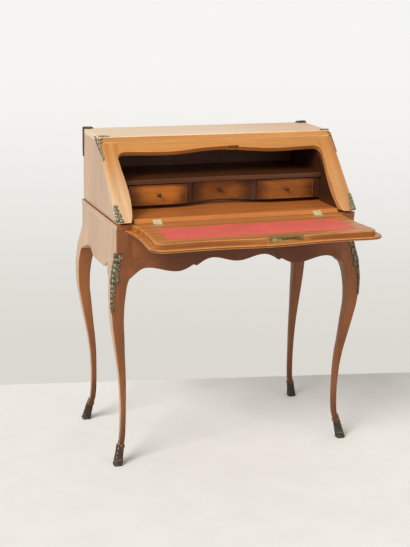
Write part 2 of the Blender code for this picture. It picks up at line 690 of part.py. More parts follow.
    key_x, key_v = x0 + KEY_INSET, face - KEY_BACK
    bolt_x = key_x + KEY_BIT + 0.0035
    bolt_low = (low + high - BOLT_THICK) / 2
    slot = ((bolt_x - BOLT_PLAY, face - BOLT_LENGTH - 0.002, bolt_low - BOLT_PLAY),
            (bolt_x + BOLT_WIDTH + BOLT_PLAY, face + 0.01, bolt_low + BOLT_THICK + BOLT_PLAY))
    worked(lock, block(*slot), LID, parent=lid_axis)
    slide = group("bolt_slide", LID @ Matrix.Translation((bolt_x, face, bolt_low)), lid_axis)
    piece("lock_bolt", block((bolt_x, face - BOLT_LENGTH, bolt_low),
                             (bolt_x + BOLT_WIDTH, face - 0.0002, bolt_low + BOLT_THICK)),
          LID, STEEL, slide)

    # Key in a round room in the lock, with its ring bow under the lid
    spot = LID @ Matrix.Translation((key_x, key_v, 0))
    turn = group("key_axis", spot, lid_axis)
    room = (low + LOCK_WALL, high - LOCK_WALL)
    worked(lock, rod(KEY_BIT + KEY_PLAY + 0.0006, room[0], room[1], 18), spot, parent=lid_axis)
    worked(lock, rod(KEY_SHANK + KEY_PLAY, room[0] + 0.001, LID_BACK, 14), spot, parent=lid_axis)
    worked(lid, rod(KEY_SHANK + KEY_PLAY, low, LID_BACK + 0.01, 14), spot, parent=lid_axis)
    under = LID_BACK + SEAT
    tip = room[0] + 0.0006
    stem = under + ESCUTCHEON_THICK + 0.0008
    shoulder = stem + 0.0055
    key = piece("key", turned([(0, tip), (KEY_SHANK, tip), (KEY_SHANK, stem),
                               (KEY_SHANK * 1.7, stem + 0.0004), (KEY_SHANK * 1.7, stem + 0.002),
                               (KEY_SHANK * 1.15, stem + 0.003), (KEY_SHANK * 1.15, shoulder),
                               (0, shoulder)], 14), spot, BRASS, turn)
    worked(key, block((0.0, -0.0008, tip + 0.0006),
                      (KEY_BIT, 0.0008, room[1] - 0.0006)), spot, "UNION", turn)
    ring = bmesh.new()
    made = bmesh.ops.create_circle(ring, segments=8, radius=BOW_WIRE)
    bmesh.ops.translate(ring, verts=made["verts"], vec=(BOW_RADIUS, 0, 0))
    bmesh.ops.spin(ring, geom=ring.verts[:] + ring.edges[:], axis=(0, 1, 0), cent=(0, 0, 0),
                   angle=math.tau, steps=20, use_merge=True)
    bow = shoulder - 0.0006 + (BOW_RADIUS + BOW_WIRE) * 1.3
    stretch = Matrix.Translation((0, 0, bow)) @ Matrix.Diagonal((1, 1, 1.3, 1))
    worked(key, placed(from_bmesh(ring), stretch), spot, "UNION", turn)
    end = bow + (BOW_RADIUS + BOW_WIRE) * 1.3
    finial = turned([(0, end - 0.0012), (0.0020, end - 0.0008), (0.0030, end + 0.0014),
                     (0.0018, end + 0.0034), (0, end + 0.0040)], 12)
    worked(key, finial, spot, "UNION", turn)

    oval = [(key_x + 0.010 * math.cos(math.tau * i / 24),
             key_v + 0.0165 * math.sin(math.tau * i / 24)) for i in range(24)]
    shield = piece("escutcheon", plate(oval, ESCUTCHEON_THICK),
                   LID @ Matrix.Translation((0, 0, under)), BRASS, lid_axis)
    worked(shield, rod(KEY_SHANK + KEY_PLAY, 0, under + 0.01, 14), spot, parent=lid_axis)

    # Strike plate in the rail, where the thrown bolt comes through
    shut = SLANT @ Matrix.Translation((0, HINGE_S, -LID_THICK))
    left, right = bolt_x - 0.006, bolt_x + BOLT_WIDTH + 0.006
    seat = max(top_edge(left), top_edge(right)) - HINGE_S + 0.0005
    inner, outer = bolt_low - 0.0035, bolt_low + BOLT_THICK + 0.0035
    worked(rail, block((left - SEAT, seat - 0.02, inner - SEAT),
                       (right + SEAT, seat + STRIKE_THICK + SEAT, outer + SEAT)), shut)
    hole = ((bolt_x - 0.0008, seat - 0.01, bolt_low - 0.0008),
            (bolt_x + BOLT_WIDTH + 0.0008, face + BOLT_THROW + 0.003, bolt_low + BOLT_THICK + 0.0008))
    worked(rail, block(*hole), shut)
    strike = piece("strike_plate", block((left, seat, inner), (right, seat + STRIKE_THICK, outer)),
                   shut, BRASS)
    worked(strike, block(*hole), shut)


# Legs and table frame

LEG_FREE = FRAME_TOP - APRON_END


def leg_section(z):
    """How far a leg's outer and inner faces stand from the table frame's face at a height."""
    if z <= LEG_FREE:
        return eased(LEG_STATIONS, z / LEG_FREE)
    high = [(LEG_FREE, LEG_STATIONS[-1][1]), (FRAME_TOP - SWELL_START, 0.0), (FRAME_TOP, 0.0)]
    return [max(eased(high, z)[0], 0.0), POST]


def leg_ring(z, corner, extra=0.0):
    """Rounded square round a leg at a height, on one of the four corners."""
    out, inward = leg_section(z)
    low, high = -inward - extra, out + extra
    radius = min(ARRIS, (high - low) * 0.28) + extra
    points = []
    for cx, cy, start in ((high, high, 0), (low, high, 1), (low, low, 2), (high, low, 3)):
        mx = cx - radius if cx == high else cx + radius
        my = cy - radius if cy == high else cy + radius
        for i in range(4):
            turn = math.pi / 2 * (start + i / 3)
            points.append((mx + radius * math.cos(turn), my + radius * math.sin(turn)))
    return [on_corner(p, q, z, corner) for p, q in points]


def on_corner(p, q, z, corner):
    """Place given by its distance out past the side face and past the front or back face."""
    side, end = corner
    y = LOW_FRONT - q if end < 0 else LOW_BACK + q
    return Vector((side * (LOW_HALF + p), y, z))


def apron_outline(scallops, middle, half):
    """Outline of an apron, level along its top and scalloped alike to both sides below."""
    low = []
    for (near, a, kind), (far, b, _) in zip(scallops, scallops[1:]):
        for i in range(SCALLOP_STEPS):
            share = i / SCALLOP_STEPS
            depth = {"swing": swing(a, b, share), "line": a + (b - a) * share,
                     "fall": a + (b - a) * (1 - math.cos(math.pi / 2 * share)),
                     "land": a + (b - a) * math.sin(math.pi / 2 * share)}[kind]
            low.append(((near + (far - near) * share) * half, FRAME_TOP - depth))
    low.append((half, FRAME_TOP - APRON_END))
    outline = [(middle - along, z) for along, z in reversed(low[1:])]
    outline += [(middle + along, z) for along, z in low]
    return outline + [(middle + half, FRAME_TOP), (middle - half, FRAME_TOP)]


CORNERS = {"front_left": (-1, -1), "front_right": (1, -1), "back_left": (-1, 1),
           "back_right": (1, 1)}


def legs():
    """Four legs in their sabots, the aprons and the back rail."""
    sole = SABOT_WALL + SEAT
    shoe = [SABOT_HEIGHT * i / 7 for i in range(8)]
    heights = [sole] + [z for z in shoe if z > sole + 0.002]
    heights += [SABOT_HEIGHT + (LEG_FREE * 0.9 - SABOT_HEIGHT) * i / 17 for i in range(1, 18)]
    heights += [LEG_FREE * share for share in (0.925, 0.95, 0.97, 0.985, 1.0)]
    top_part = FRAME_TOP - LEG_FREE
    heights += [LEG_FREE + top_part * share for share in (0.12, 0.26, 0.4, 0.52, 0.6, 1.0)]
    for name, corner in CORNERS.items():
        piece("leg_" + name, loft([leg_ring(z, corner) for z in heights]), CASE, WALNUT)
        rings = [leg_ring(z, corner, SEAT + SABOT_WALL) for z in shoe]
        rings += [leg_ring(max(z, SABOT_WALL), corner, SEAT) for z in reversed(shoe)]
        piece("sabot_" + name, loft(rings), CASE, BRONZE)

    half = LOW_HALF - POST - SEAT
    piece("apron_front", plate(apron_outline(FRONT_SCALLOPS, 0.0, half), APRON_THICK),
          elevation(LOW_FRONT + APRON_THICK), WALNUT)

    outline = [(-half, FRAME_TOP - BACK_RAIL), (half, FRAME_TOP - BACK_RAIL), (half, FRAME_TOP),
               (-half, FRAME_TOP)]
    piece("back_rail", plate(outline, APRON_THICK), elevation(LOW_BACK), WALNUT)

    middle, half = (LOW_FRONT + LOW_BACK) / 2, (LOW_BACK - LOW_FRONT) / 2 - POST - SEAT
    outline = apron_outline(SIDE_SCALLOPS, middle, half)
    piece("apron_left", plate(outline, APRON_THICK), profile(-LOW_HALF), PALE)
    piece("apron_right", plate(outline, APRON_THICK), profile(LOW_HALF - APRON_THICK), PALE)


def angle_ring(near, far, thick):
    """Section of a mount bent over an arris: two arms with air under them.

    The first number runs out of one face, the second out of the other, and an arm's length is
    measured back from the arris.
    """
    a, b = SEAT, SEAT + thick
    bend = thick * 0.6
    return [(a, -near), (a, a), (-far, a), (-far, b), (b - bend, b), (b, b - bend), (b, -near)]


def mounts():
    """Bronze mounts on the knees, the stiles' feet and the four top corners."""
    for name in ("front_left", "front_right"):
        corner = CORNERS[name]
        rings = []
        for i in range(15):
            share = i / 14
            z = FRAME_TOP - KNEE_TOP - KNEE_LENGTH * share
            out = leg_section(z)[0]
            arm = KNEE_ARM * (0.75 + 0.25 * math.sin(math.pi * min(share * 2.2, 1.0))) * (
                1.0 if share < 0.45 else 1.0 - 0.72 * (share - 0.45) / 0.55)
            rings.append([on_corner(out + p, out + q, z, corner)
                          for p, q in angle_ring(arm, arm, MOUNT_THICK)])
        piece("knee_mount_" + name.split("_")[1], loft(rings), CASE, BRONZE)

    def slant_strip(stations, side_share, sign):
        rings = []
        for s, arm, thick in stations:
            ring = angle_ring(arm * side_share, arm, thick)
            rings.append([SLANT @ Vector((sign * (HALF + p), s, n)) for p, n in ring])
        return loft(rings)

    for name, sign in (("left", -1), ("right", 1)):
        lowest = SEAT
        count = 6
        stations = [(lowest + STILE_MOUNT * i / count,
                     STILE_ARM * (1.0 - 0.62 * (i / count) ** 2), MOUNT_THICK)
                    for i in range(count + 1)]
        piece("stile_mount_" + name, slant_strip(stations, 0.55, sign), CASE, BRONZE)

        stations = [(SLOPE_LENGTH + MOUNT_THICK * 0.6 - HEAD_LENGTH * i / 8,
                     HEAD_ARM * (1.0 - 0.66 * (i / 8) ** 1.5), MOUNT_THICK) for i in range(9)]
        head = piece("top_mount_front_" + name, slant_strip(stations, 0.6, sign), CASE, BRONZE)
        rim = HALF + SEAT + MOUNT_THICK
        front = RUN - MOUNT_THICK * 0.5
        cap = [(rim, front), (rim, front + CAP_DEPTH + MOUNT_THICK),
               (HALF - CAP_DEPTH * 0.4, front + CAP_DEPTH * 0.8),
               (HALF - CAP_LENGTH, front + CAP_DEPTH * 0.45), (HALF - CAP_LENGTH, front)]
        shape = plate(cap, MOUNT_THICK)
        worked(head, shape if sign > 0 else mirrored(shape), plan(HEIGHT + SEAT), "UNION")

        rings = []
        for i in range(9):
            share = i / 8
            z = HEIGHT + SEAT + MOUNT_THICK - (BACK_LENGTH + MOUNT_THICK) * share
            arm = BACK_ARM * (1.0 - 0.62 * share ** 1.5)
            rings.append([Vector((sign * (HALF + p), CASE_DEPTH + q, z))
                          for p, q in angle_ring(arm, arm, MOUNT_THICK)])
        tail = piece("top_mount_back_" + name, loft(rings), CASE, BRONZE)
        rear = CASE_DEPTH + SEAT + MOUNT_THICK * 0.55
        rim = HALF + SEAT + MOUNT_THICK * 0.55
        cap = [(rim, rear), (HALF - CAP_LENGTH, rear),
               (HALF - CAP_LENGTH, rear - CAP_DEPTH * 0.45),
               (HALF - CAP_DEPTH * 0.4, rear - CAP_DEPTH * 0.8), (rim, rear - CAP_DEPTH)]
        shape = plate(cap, MOUNT_THICK * 0.8)
        worked(tail, shape if sign > 0 else mirrored(shape), plan(HEIGHT + SEAT), "UNION")


top_rail = upper_case()
floor_pieces = floors()
drawer_unit()
fall_front(*floor_pieces, top_rail)
legs()
mounts()
bpy.context.view_layer.update()
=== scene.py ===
"""Visual model of the slant-front desk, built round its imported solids.

Laid out as an add-on and run as a script. Lengths are metres in the solids' own frame: +Z is
up, the front faces -Y and the floor is z = 0.
"""

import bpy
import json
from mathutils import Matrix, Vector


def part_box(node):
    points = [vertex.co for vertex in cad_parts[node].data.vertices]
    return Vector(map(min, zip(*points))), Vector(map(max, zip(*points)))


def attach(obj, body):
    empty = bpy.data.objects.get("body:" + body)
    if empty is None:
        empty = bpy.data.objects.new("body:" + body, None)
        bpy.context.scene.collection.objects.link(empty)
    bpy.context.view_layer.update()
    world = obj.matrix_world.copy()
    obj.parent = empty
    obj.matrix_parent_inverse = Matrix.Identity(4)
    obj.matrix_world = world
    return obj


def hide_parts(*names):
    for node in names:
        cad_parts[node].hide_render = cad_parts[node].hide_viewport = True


bl_info = {
    "name": "Slant-front desk",
    "version": (1, 0, 0),
    "blender": (4, 5, 0),
    "location": "3D View > Sidebar > Desk",
    "description": "Dresses the packed solids of a slant-front desk with finished pieces",
    "category": "Object",
}

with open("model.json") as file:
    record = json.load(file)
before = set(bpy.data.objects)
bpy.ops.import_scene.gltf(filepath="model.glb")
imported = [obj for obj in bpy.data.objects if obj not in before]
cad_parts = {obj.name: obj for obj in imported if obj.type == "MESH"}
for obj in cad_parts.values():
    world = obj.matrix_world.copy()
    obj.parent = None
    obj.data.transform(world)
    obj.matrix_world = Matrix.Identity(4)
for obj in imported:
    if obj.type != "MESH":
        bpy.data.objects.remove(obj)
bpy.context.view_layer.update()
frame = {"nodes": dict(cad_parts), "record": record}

import json
import math
import random

import bmesh
import bpy
from bpy.props import FloatProperty, FloatVectorProperty, PointerProperty
from mathutils import Matrix, Vector

NODES = frame["nodes"]
BODY_OF = {node: body for body, nodes in frame["record"]["behaviour"]["bodies"].items()
           for node in nodes}
SLOT_OF = {row["node"]: row["material_slot"] for row in frame["record"]["subparts"]}

# Places read from the solids
NEAR = 0.0001               # reach in which a point counts as on a solid's face
STILE_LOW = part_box("front_stile_right")[0]
TOP_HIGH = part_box("top_board")[1]
LID_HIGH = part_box("lid_board")[1]
HALF = TOP_HIGH.x
BACK = TOP_HIGH.y
TOP = TOP_HIGH.z
TOP_FRONT = min(v.co.y for v in NODES["top_board"].data.vertices if v.co.z > TOP - NEAR)
FOOT = Vector((0.0, STILE_LOW.y, STILE_LOW.z))
UP_SLOPE = Vector((0.0, TOP_FRONT, TOP)) - FOOT
SLOPE_LENGTH = UP_SLOPE.length
UP_SLOPE.normalize()
OUT_SLOPE = Vector((0.0, -UP_SLOPE.z, UP_SLOPE.y))
SLOPE = math.atan2(UP_SLOPE.z, UP_SLOPE.y)
WRITING_TOP = LID_HIGH.z
LIP_TOP = max(v.co.z for v in NODES["lid_board"].data.vertices if v.co.x > LID_HIGH.x - NEAR)

AIR = 0.0003                # seat gap between two pieces that touch
SAME = 0.00002              # points closer than this are one point
WELD = 0.00001              # the same in castings and rounded edges
TINY = 1e-9                 # keeps a division from meeting zero
SHARP = math.radians(28)    # edges sharper than this are rounded over
SMOOTH = math.radians(40)   # edges sharper than this keep a crease in the shading
FLAT = math.radians(0.8)    # triangles that meet flatter than this are one face
CAST_THIN = 0.0006          # thinnest metal of a casting
ARRIS = 0.0016              # round on the case's outer corners
SCREW_PROUD = 0.0001        # middle of a screw head over its plate

# Camera that was fitted to the photograph
CAMERA_PLACE = (-1.2305, -3.1779, 1.4514)
CAMERA_TURN = -0.34811      # about the vertical, from looking along +Y
CAMERA_DIP = 0.26043        # down from level
CAMERA_ROLL = 0.02042
CAMERA_LENS = 102.94        # mm, on a sensor as wide as the next value
CAMERA_SENSOR = 36.0

FLOOR_END = 0.587           # floor's back edge from the origin
FLOOR_TURN = math.radians(-11.5)
FLOOR_HALF = 6.0
SKY_LIGHT = (1.0, 0.985, 0.96)
SKY_STRENGTH = 0.43
SKY_LOW, SKY_HIGH = -0.34, -0.08    # heights of view between which the background turns from painted shade to pale
WINDOW_PLACE, WINDOW_AIM = (-3.7, -2.6, 4.1), (0, 0, 0.6)
WINDOW_SPREAD = math.radians(31)
WINDOW_STRENGTH = 2.86
FILL_PLACE, FILL_AIM = (1.4, -3.6, 2.2), (0, 0, 0.5)
FILL_WIDTH = 2.0
FILL_POWER = 16.0

SIDES = (("left", -1), ("right", 1))
CORNERS = {"front_left": (-1, -1), "front_right": (1, -1),
           "back_left": (-1, 1), "back_right": (1, 1)}


def srgb(red, green, blue):
    """Linear colour from the three numbers a paint program shows."""
    shares = [value / 255 for value in (red, green, blue)]
    return [s / 12.92 if s <= 0.04045 else ((s + 0.055) / 1.055) ** 2.4 for s in shares]


def length(name, description, default):
    """A size that a user may change."""
    return FloatProperty(name=name, description=description, default=default, min=0.0,
                         unit="LENGTH", precision=4)


def colour(name, description, *default):
    """A colour that a user may change."""
    return FloatVectorProperty(name=name, description=description, default=srgb(*default),
                               subtype="COLOR", size=3, min=0.0, max=1.0)


class DeskSizes(bpy.types.PropertyGroup):
    """Sizes of the finished details."""

    board_round: length("Board edges", "Width of the worn round on a board's edges", 0.0011)
    lid_round: length("Lid edges", "Width of the round on the fall front's edges", 0.0024)
    bead_width: length("Drawer bead", "Width of the bead round a drawer front", 0.0030)
    bead_height: length("Bead height", "How far that bead stands proud", 0.0014)
    leaf_relief: length("Leaf relief", "Height of the cast leaves on the mounts", 0.0027)
    screw_radius: length("Screw heads", "Radius of a screw head", 0.0021)
    tooling_inset: length("Tooled line", "Leather's edge to its tooled line", 0.0085)


class DeskColours(bpy.types.PropertyGroup):
    """Colours of the finishes."""

    front_pale: colour("Front, pale", "Pale grain of the slanted front", 209, 146, 76)
    front_deep: colour("Front, deep", "Deep grain of the slanted front", 168, 103, 45)
    # These two stile colours are paler and greyer, to paint the sheen on the stiles' feet
    sheened_pale: colour("Sheened stile, pale", "Pale grain of the sunned stiles", 226, 189, 147)
    sheened_deep: colour("Sheened stile, deep", "Deep grain of the sunned stiles", 201, 157, 113)
    # The top's pale colours paint the window's sheen on it
    top_pale: colour("Top, pale", "Pale grain of the faded top", 236, 211, 180)
    top_deep: colour("Top, deep", "Deep grain of the faded top", 214, 181, 144)
    # The side colours are pale and grey to paint the window's sheen on the sides; the side aprons, the
    # legs' outer sides and the case floor's ends take them too
    side_pale: colour("Sides, pale", "Pale grain of the faded sides", 200, 171, 143)
    side_deep: colour("Sides, deep", "Deep grain of the faded sides", 179, 146, 118)
    lid_pale: colour("Lid, pale", "Pale grain of the fall front", 206, 134, 64)
    lid_deep: colour("Lid, deep", "Deep grain of the fall front", 140, 78, 31)
    floor_pale: colour("Inner floor, pale", "Pale grain of the inner floor", 196, 118, 54)
    floor_deep: colour("Inner floor, deep", "Deep grain of the inner floor", 148, 80, 33)
    leg_pale: colour("Legs, pale", "Pale grain of the legs", 152, 92, 48)
    leg_deep: colour("Legs, deep", "Deep grain of the legs", 102, 54, 24)
    # The apron colours are dark to paint the lid's shadow on the front apron; the back rail takes them
    # too
    apron_pale: colour("Apron, pale", "Pale grain of the apron", 106, 53, 16)
    apron_deep: colour("Apron, deep", "Deep grain of the apron", 67, 30, 7)
    drawer_pale: colour("Drawers, pale", "Pale grain of the drawer fronts", 204, 122, 38)
    drawer_deep: colour("Drawers, deep", "Deep grain of the drawer fronts", 116, 58, 16)
    unit_pale: colour("Drawer unit, pale", "Pale grain round the drawers", 96, 55, 26)
    unit_deep: colour("Drawer unit, deep", "Deep grain round the drawers", 51, 26, 11)
    inside_pale: colour("Inside, pale", "Pale grain of the linings and back", 104, 58, 30)
    inside_deep: colour("Inside, deep", "Deep grain of the linings and back", 52, 27, 12)
    box_pale: colour("Drawer box, pale", "Pale grain of the bare drawer boxes", 204, 164, 116)
    box_deep: colour("Drawer box, deep", "Deep grain of the bare drawer boxes", 168, 124, 82)
    leather: colour("Leather", "Skin of the writing surface", 220, 97, 82)
    corner_high: colour("Corner mounts, high", "Rubbed places of the case's mounts", 200, 192, 160)
    corner_deep: colour("Corner mounts, deep", "Recesses of the case's mounts", 84, 74, 54)
    knee_high: colour("Knee mounts, high", "Rubbed places of the knee mounts", 190, 176, 136)
    knee_deep: colour("Knee mounts, deep", "Recesses of the knee mounts", 56, 43, 29)
    shoe_high: colour("Sabots, high", "Rubbed places of the sabots", 152, 124, 94)
    shoe_deep: colour("Sabots, deep", "Recesses of the sabots", 50, 37, 28)
    brass: colour("Brass", "Lock and key", 166, 138, 84)
    # This pale colour paints the hinges' highlight into their brass
    hinge: colour("Hinges", "Pale brass of the hinges", 216, 204, 158)
    steel: colour("Steel", "Bolt, screws and hinge pins", 150, 140, 124)
    sky_high: colour("Background, high", "Background above the desk", 246, 245, 242)
    # The low background is darker to paint the desk's shade on the backdrop behind it
    sky_low: colour("Background, low", "Background beside the legs", 219, 216, 209)
    floor: colour("Floor", "Floor", 238, 236, 230)


# Tones at which the grain has its deep and its pale colour
GRAIN_DEEP, GRAIN_PALE = 0.34, 0.84


class Wire:
    """A shader socket that can be used in sums, so that shader maths reads as plain sums."""

    def __init__(self, shade, socket):
        self.shade = shade
        self.socket = socket

    def sum_of(self, operation, first, second):
        """Wire of one step of maths on two values."""
        return self.shade.node("ShaderNodeMath", {"operation": operation}, {0: first, 1: second})

    def __add__(self, other):
        return self.sum_of("ADD", self, other)

    def __sub__(self, other):
        return self.sum_of("SUBTRACT", self, other)

    def __rsub__(self, other):
        return self.sum_of("SUBTRACT", other, self)

    def __mul__(self, other):
        return self.sum_of("MULTIPLY", self, other)

    __radd__ = __add__
    __rmul__ = __mul__


class Shade:
    """One material, or the sky, and the nodes that paint it."""

    def __init__(self, name, world=None):
        self.material = world or bpy.data.materials.new(name)
        self.material.use_nodes = True
        self.tree = self.material.node_tree
        self.shader = self.tree.nodes.get("Principled BSDF")
        self.spot = self.node("ShaderNodeTexCoord", output="Generated" if world else "Object")

    def node(self, kind, settings=None, inputs=None, output=0):
        """A new node, set up first and then fed, as the wire of one of its outputs."""
        made = self.tree.nodes.new(kind)
        for key, value in (settings or {}).items():
            if key == "stops":
                ramp = made.color_ramp.elements
                while len(ramp) < len(value):
                    ramp.new(1.0)
                for stop, (place, tint) in zip(ramp, value):
                    stop.position = place
                    stop.color = (*tint, 1.0)
            else:
                setattr(made, key, value)
        for key, value in (inputs or {}).items():
            self.feed(made.inputs[key], value)
        return Wire(self, made.outputs[output])

    def feed(self, socket, value):
        """Links a wire to a socket, or sets a plain value on it."""
        if isinstance(value, Wire):
            self.tree.links.new(value.socket, socket)
        elif socket.type == "RGBA":
            socket.default_value = (*value, 1.0)
        else:
            socket.default_value = value

    def paint(self, **inputs):
        """Feeds the shader's own sockets, whose names are written with underscores."""
        for key, value in inputs.items():
            self.feed(self.shader.inputs[key.replace("_", " ")], value)
        return self.material

    def turned(self, vector, turn):
        """Places turned, as a board's grain is."""
        return self.node("ShaderNodeMapping", inputs={"Vector": vector, "Rotation": turn})

    def stretched(self, vector, scale):
        """Places scaled, so that a pattern is finer where the scale is larger."""
        return self.node("ShaderNodeMapping", inputs={"Vector": vector, "Scale": scale})

    def cloud(self, vector, scale, detail, roughness=0.5):
        """Cloudy pattern from 0 to 1."""
        return self.node("ShaderNodeTexNoise", inputs={
            "Vector": vector, "Scale": scale, "Detail": detail, "Roughness": roughness})

    def step(self, value, start, end):
        """0 before start, 1 after end and smooth between them."""
        return self.node("ShaderNodeMapRange", {"interpolation_type": "SMOOTHSTEP"},
                         {"Value": value, "From Min": start, "From Max": end})

    def mix(self, share, first, second):
        """Colour between two others: the second where the share is 1."""
        return self.node("ShaderNodeMix", {"data_type": "RGBA"},
                         {0: share, 6: first, 7: second}, output=2)

    def axis(self, name):
        """Distance along one of the desk's axes."""
        return self.node("ShaderNodeSeparateXYZ", inputs={0: self.spot}, output=name)

    def away(self, value):
        """Distance from zero, either way."""
        return self.node("ShaderNodeMath", {"operation": "ABSOLUTE"}, {0: value})

    def grained(self, tone, deep, pale):
        """Colour of the grain, between its deep and its pale one."""
        stops = [(GRAIN_DEEP, deep), (GRAIN_PALE, pale)]
        return self.node("ShaderNodeValToRGB", {"stops": stops}, {0: tone})

    def attribute(self, name):
        """Value that is kept on the mesh."""
        return self.node("ShaderNodeAttribute", {"attribute_name": name}, output="Fac")

    def bump(self, height, distance, strength):
        """Fine relief that is too small for the mesh, and how deep it is."""
        return self.node("ShaderNodeBump", inputs={
            "Height": height, "Distance": distance, "Strength": strength})


# Depths of the relief in the finishes
PORE_DEPTH = 0.00022
SKIN_DEPTH = 0.00018
CAST_DEPTH = 0.0003
SCRATCH_DEPTH = 0.0001


def dimmed(tint, share):
    """Colour made darker, or paler where the share is over 1."""
    return [min(value * share, 1.0) for value in tint]


def colours():
    """Colours that the pieces are painted with."""
    return bpy.context.scene.desk_colours


def sizes():
    """Sizes that the details are made to."""
    return bpy.context.scene.desk_sizes


# Turns that bring the grain's own x along a board
ALONG_X = (0.0, 0.0, 0.0)
ALONG_Y = (0.0, 0.0, -math.pi / 2)
ALONG_Z = (0.0, math.pi / 2, 0.0)
UP_FRONT = (-SLOPE, 0.0, -math.pi / 2)


def wood(name, pale, deep, grain, rough, specks=0.0, figured=0.22, washes=None):
    """Polished wood with figure, fibres, pores, old specks, and rounded edges paler with wear and
    painted highlight.

    grain turns the grain's own x along the board, specks says how dark the old specks are, and
    figured is the share of the wavy figure. washes, where given, makes rows of a wire and a deep
    and a pale colour: the wood takes those two colours where the wire is 1.
    """
    if name in bpy.data.materials:
        return bpy.data.materials[name]
    shade = Shade(name)
    board = shade.turned(shade.spot, grain)
    broad = shade.cloud(shade.stretched(board, (1.8, 8.0, 8.0)), 1.0, 2.0)
    fibre = shade.cloud(shade.stretched(board, (8.0, 240.0, 240.0)), 1.0, 3.0, 0.6)
    pores = shade.step(shade.cloud(shade.stretched(board, (34.0, 900.0, 900.0)), 1.0, 1.0),
                       0.60, 0.72)
    figure = shade.node("ShaderNodeTexWave", {"bands_direction": "Y"}, {
        "Vector": shade.stretched(board, (0.12, 1.0, 1.0)), "Scale": 8.0, "Distortion": 8.0,
        "Detail": 2.5, "Detail Scale": 1.1}, output="Fac")
    tone = figure * figured + fibre * 0.42 + broad * (0.78 - figured)
    tint = shade.grained(tone, deep, pale)
    for share, wash_deep, wash_pale in washes(shade) if washes else ():
        tint = shade.mix(share, tint, shade.grained(tone, wash_deep, wash_pale))
    tint = shade.mix(pores * 0.38, tint, dimmed(deep, 0.55))
    scuffs = shade.step(shade.cloud(shade.spot, 38.0, 4.0, 0.65), 0.40, 0.62)
    # rounded edges and leg arrises paler: wear and painted highlight
    worn = shade.attribute("wear") * (0.34 + scuffs * 0.40)
    tint = shade.mix(worn, tint, dimmed(pale, 1.32))
    if specks:
        spots = shade.step(shade.cloud(shade.spot, 165.0, 1.0), 0.735, 0.765)
        tint = shade.mix(spots * specks, tint, dimmed(deep, 0.22))
    smears = shade.cloud(shade.spot, 11.0, 3.0)
    return shade.paint(
        Base_Color=tint, Roughness=rough - 0.10 + smears * 0.22 + pores * 0.16,
        Normal=shade.bump(fibre * 0.35 - pores * 0.8, PORE_DEPTH, 0.7),
        Coat_Weight=0.03 + scuffs * 0.05, Coat_Roughness=0.22, Specular_IOR_Level=0.32)


# Places between which the woods change colour: along X, or heights where that is said
RAIL_DEEPER = (-0.10, 0.34)
# across which the top's painted sheen gives way toward the right
TOP_LESS_SHEEN = (-0.05, 0.37)
APRON_PALER = (0.20, 0.33)  # from the middle, either way
# heights between which the stiles' painted sheen gives way
STILE_SHEEN_HEIGHTS = (0.77, 0.93)  # heights
SHOE_DIRT = (0.06, 0.19)    # heights
TOP_EDGE = (TOP - 0.0026, TOP - 0.0014)     # heights


def front_wood():
    """Slanted top rail, deeper toward the right."""
    def deeper(shade):
        right = shade.step(shade.axis("X"), *RAIL_DEEPER)
        return [(right * 0.5, dimmed(c.front_deep, 0.70), dimmed(c.front_pale, 0.76))]

    c = colours()
    return wood("front_wood", c.front_pale, c.front_deep, ALONG_X, 0.42, washes=deeper)


# Share of painted sheen on each stile's foot
STILE_SHEEN = {"left": 1.0, "right": 0.28}


def stile_wood(side):
    """Slanted stile, paler toward its foot with painted sheen, the left one most."""
    def sheened(shade):
        # painted sheen, strongest at the stile's foot
        foot = 1 - shade.step(shade.axis("Z"), *STILE_SHEEN_HEIGHTS)
        return [(foot * STILE_SHEEN[side], c.sheened_deep, c.sheened_pale)]

    c = colours()
    return wood(side + "_stile_wood", c.front_pale, c.front_deep, UP_FRONT, 0.41, specks=0.4,
                washes=sheened)


def top_wood():
    """Top, pale with painted sheen, most toward the left, with a front edge like the rail under it."""
    def kept(shade):
        # less painted sheen toward the right; the front edge has the rail's colour
        right = shade.step(shade.axis("X"), *TOP_LESS_SHEEN)
        below = 1 - shade.step(shade.axis("Z"), *TOP_EDGE)
        before = 1 - shade.step(shade.axis("Y"), middle - 0.01, middle + 0.01)
        inside = 1 - shade.step(shade.away(shade.axis("X")), HALF - ARRIS, HALF - ARRIS / 2)
        return [(right * 0.45, c.front_deep, c.front_pale),
                (below * before * inside, c.front_deep, c.front_pale)]

    c = colours()
    low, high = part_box("top_board")
    middle = (low.y + high.y) / 2
    return wood("faded_top_wood", c.top_pale, c.top_deep, ALONG_X, 0.44, figured=0.12, washes=kept)


def side_wood():
    """Sides and side aprons, plain, and pale and grey with painted sheen."""
    c = colours()
    return wood("faded_side_wood", c.side_pale, c.side_deep, ALONG_Z, 0.46, 0.5, figured=0.06)


def lid_wood():
    """Fall front, dark with painted shade on the upright faces of its step and lip."""
    def shaded_uprights(shade):
        return [(shade.attribute("grime"), dimmed(c.lid_deep, 0.18), dimmed(c.lid_deep, 0.55))]

    c = colours()
    return wood("lid_wood", c.lid_pale, c.lid_deep, ALONG_X, 0.34, washes=shaded_uprights)


def floor_wood():
    """Raised inner floor."""
    c = colours()
    return wood("inner_floor_wood", c.floor_pale, c.floor_deep, ALONG_X, 0.36)


def case_floor_wood():
    """Floor board of the case, brown in front and pale on its ends with the sides' painted sheen."""
    def sheened(shade):
        # the ends take the sides' painted sheen
        ends = shade.step(shade.away(shade.axis("X")), HALF, HALF + 0.0015)
        under_groove = 1 - shade.step(shade.axis("Z"), groove - 0.0018, groove - 0.0012)
        return [(ends * under_groove, c.side_deep, c.side_pale)]

    c = colours()
    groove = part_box("case_floor")[1].z
    return wood("case_floor_wood", c.leg_pale, c.leg_deep, ALONG_X, 0.40, washes=sheened)


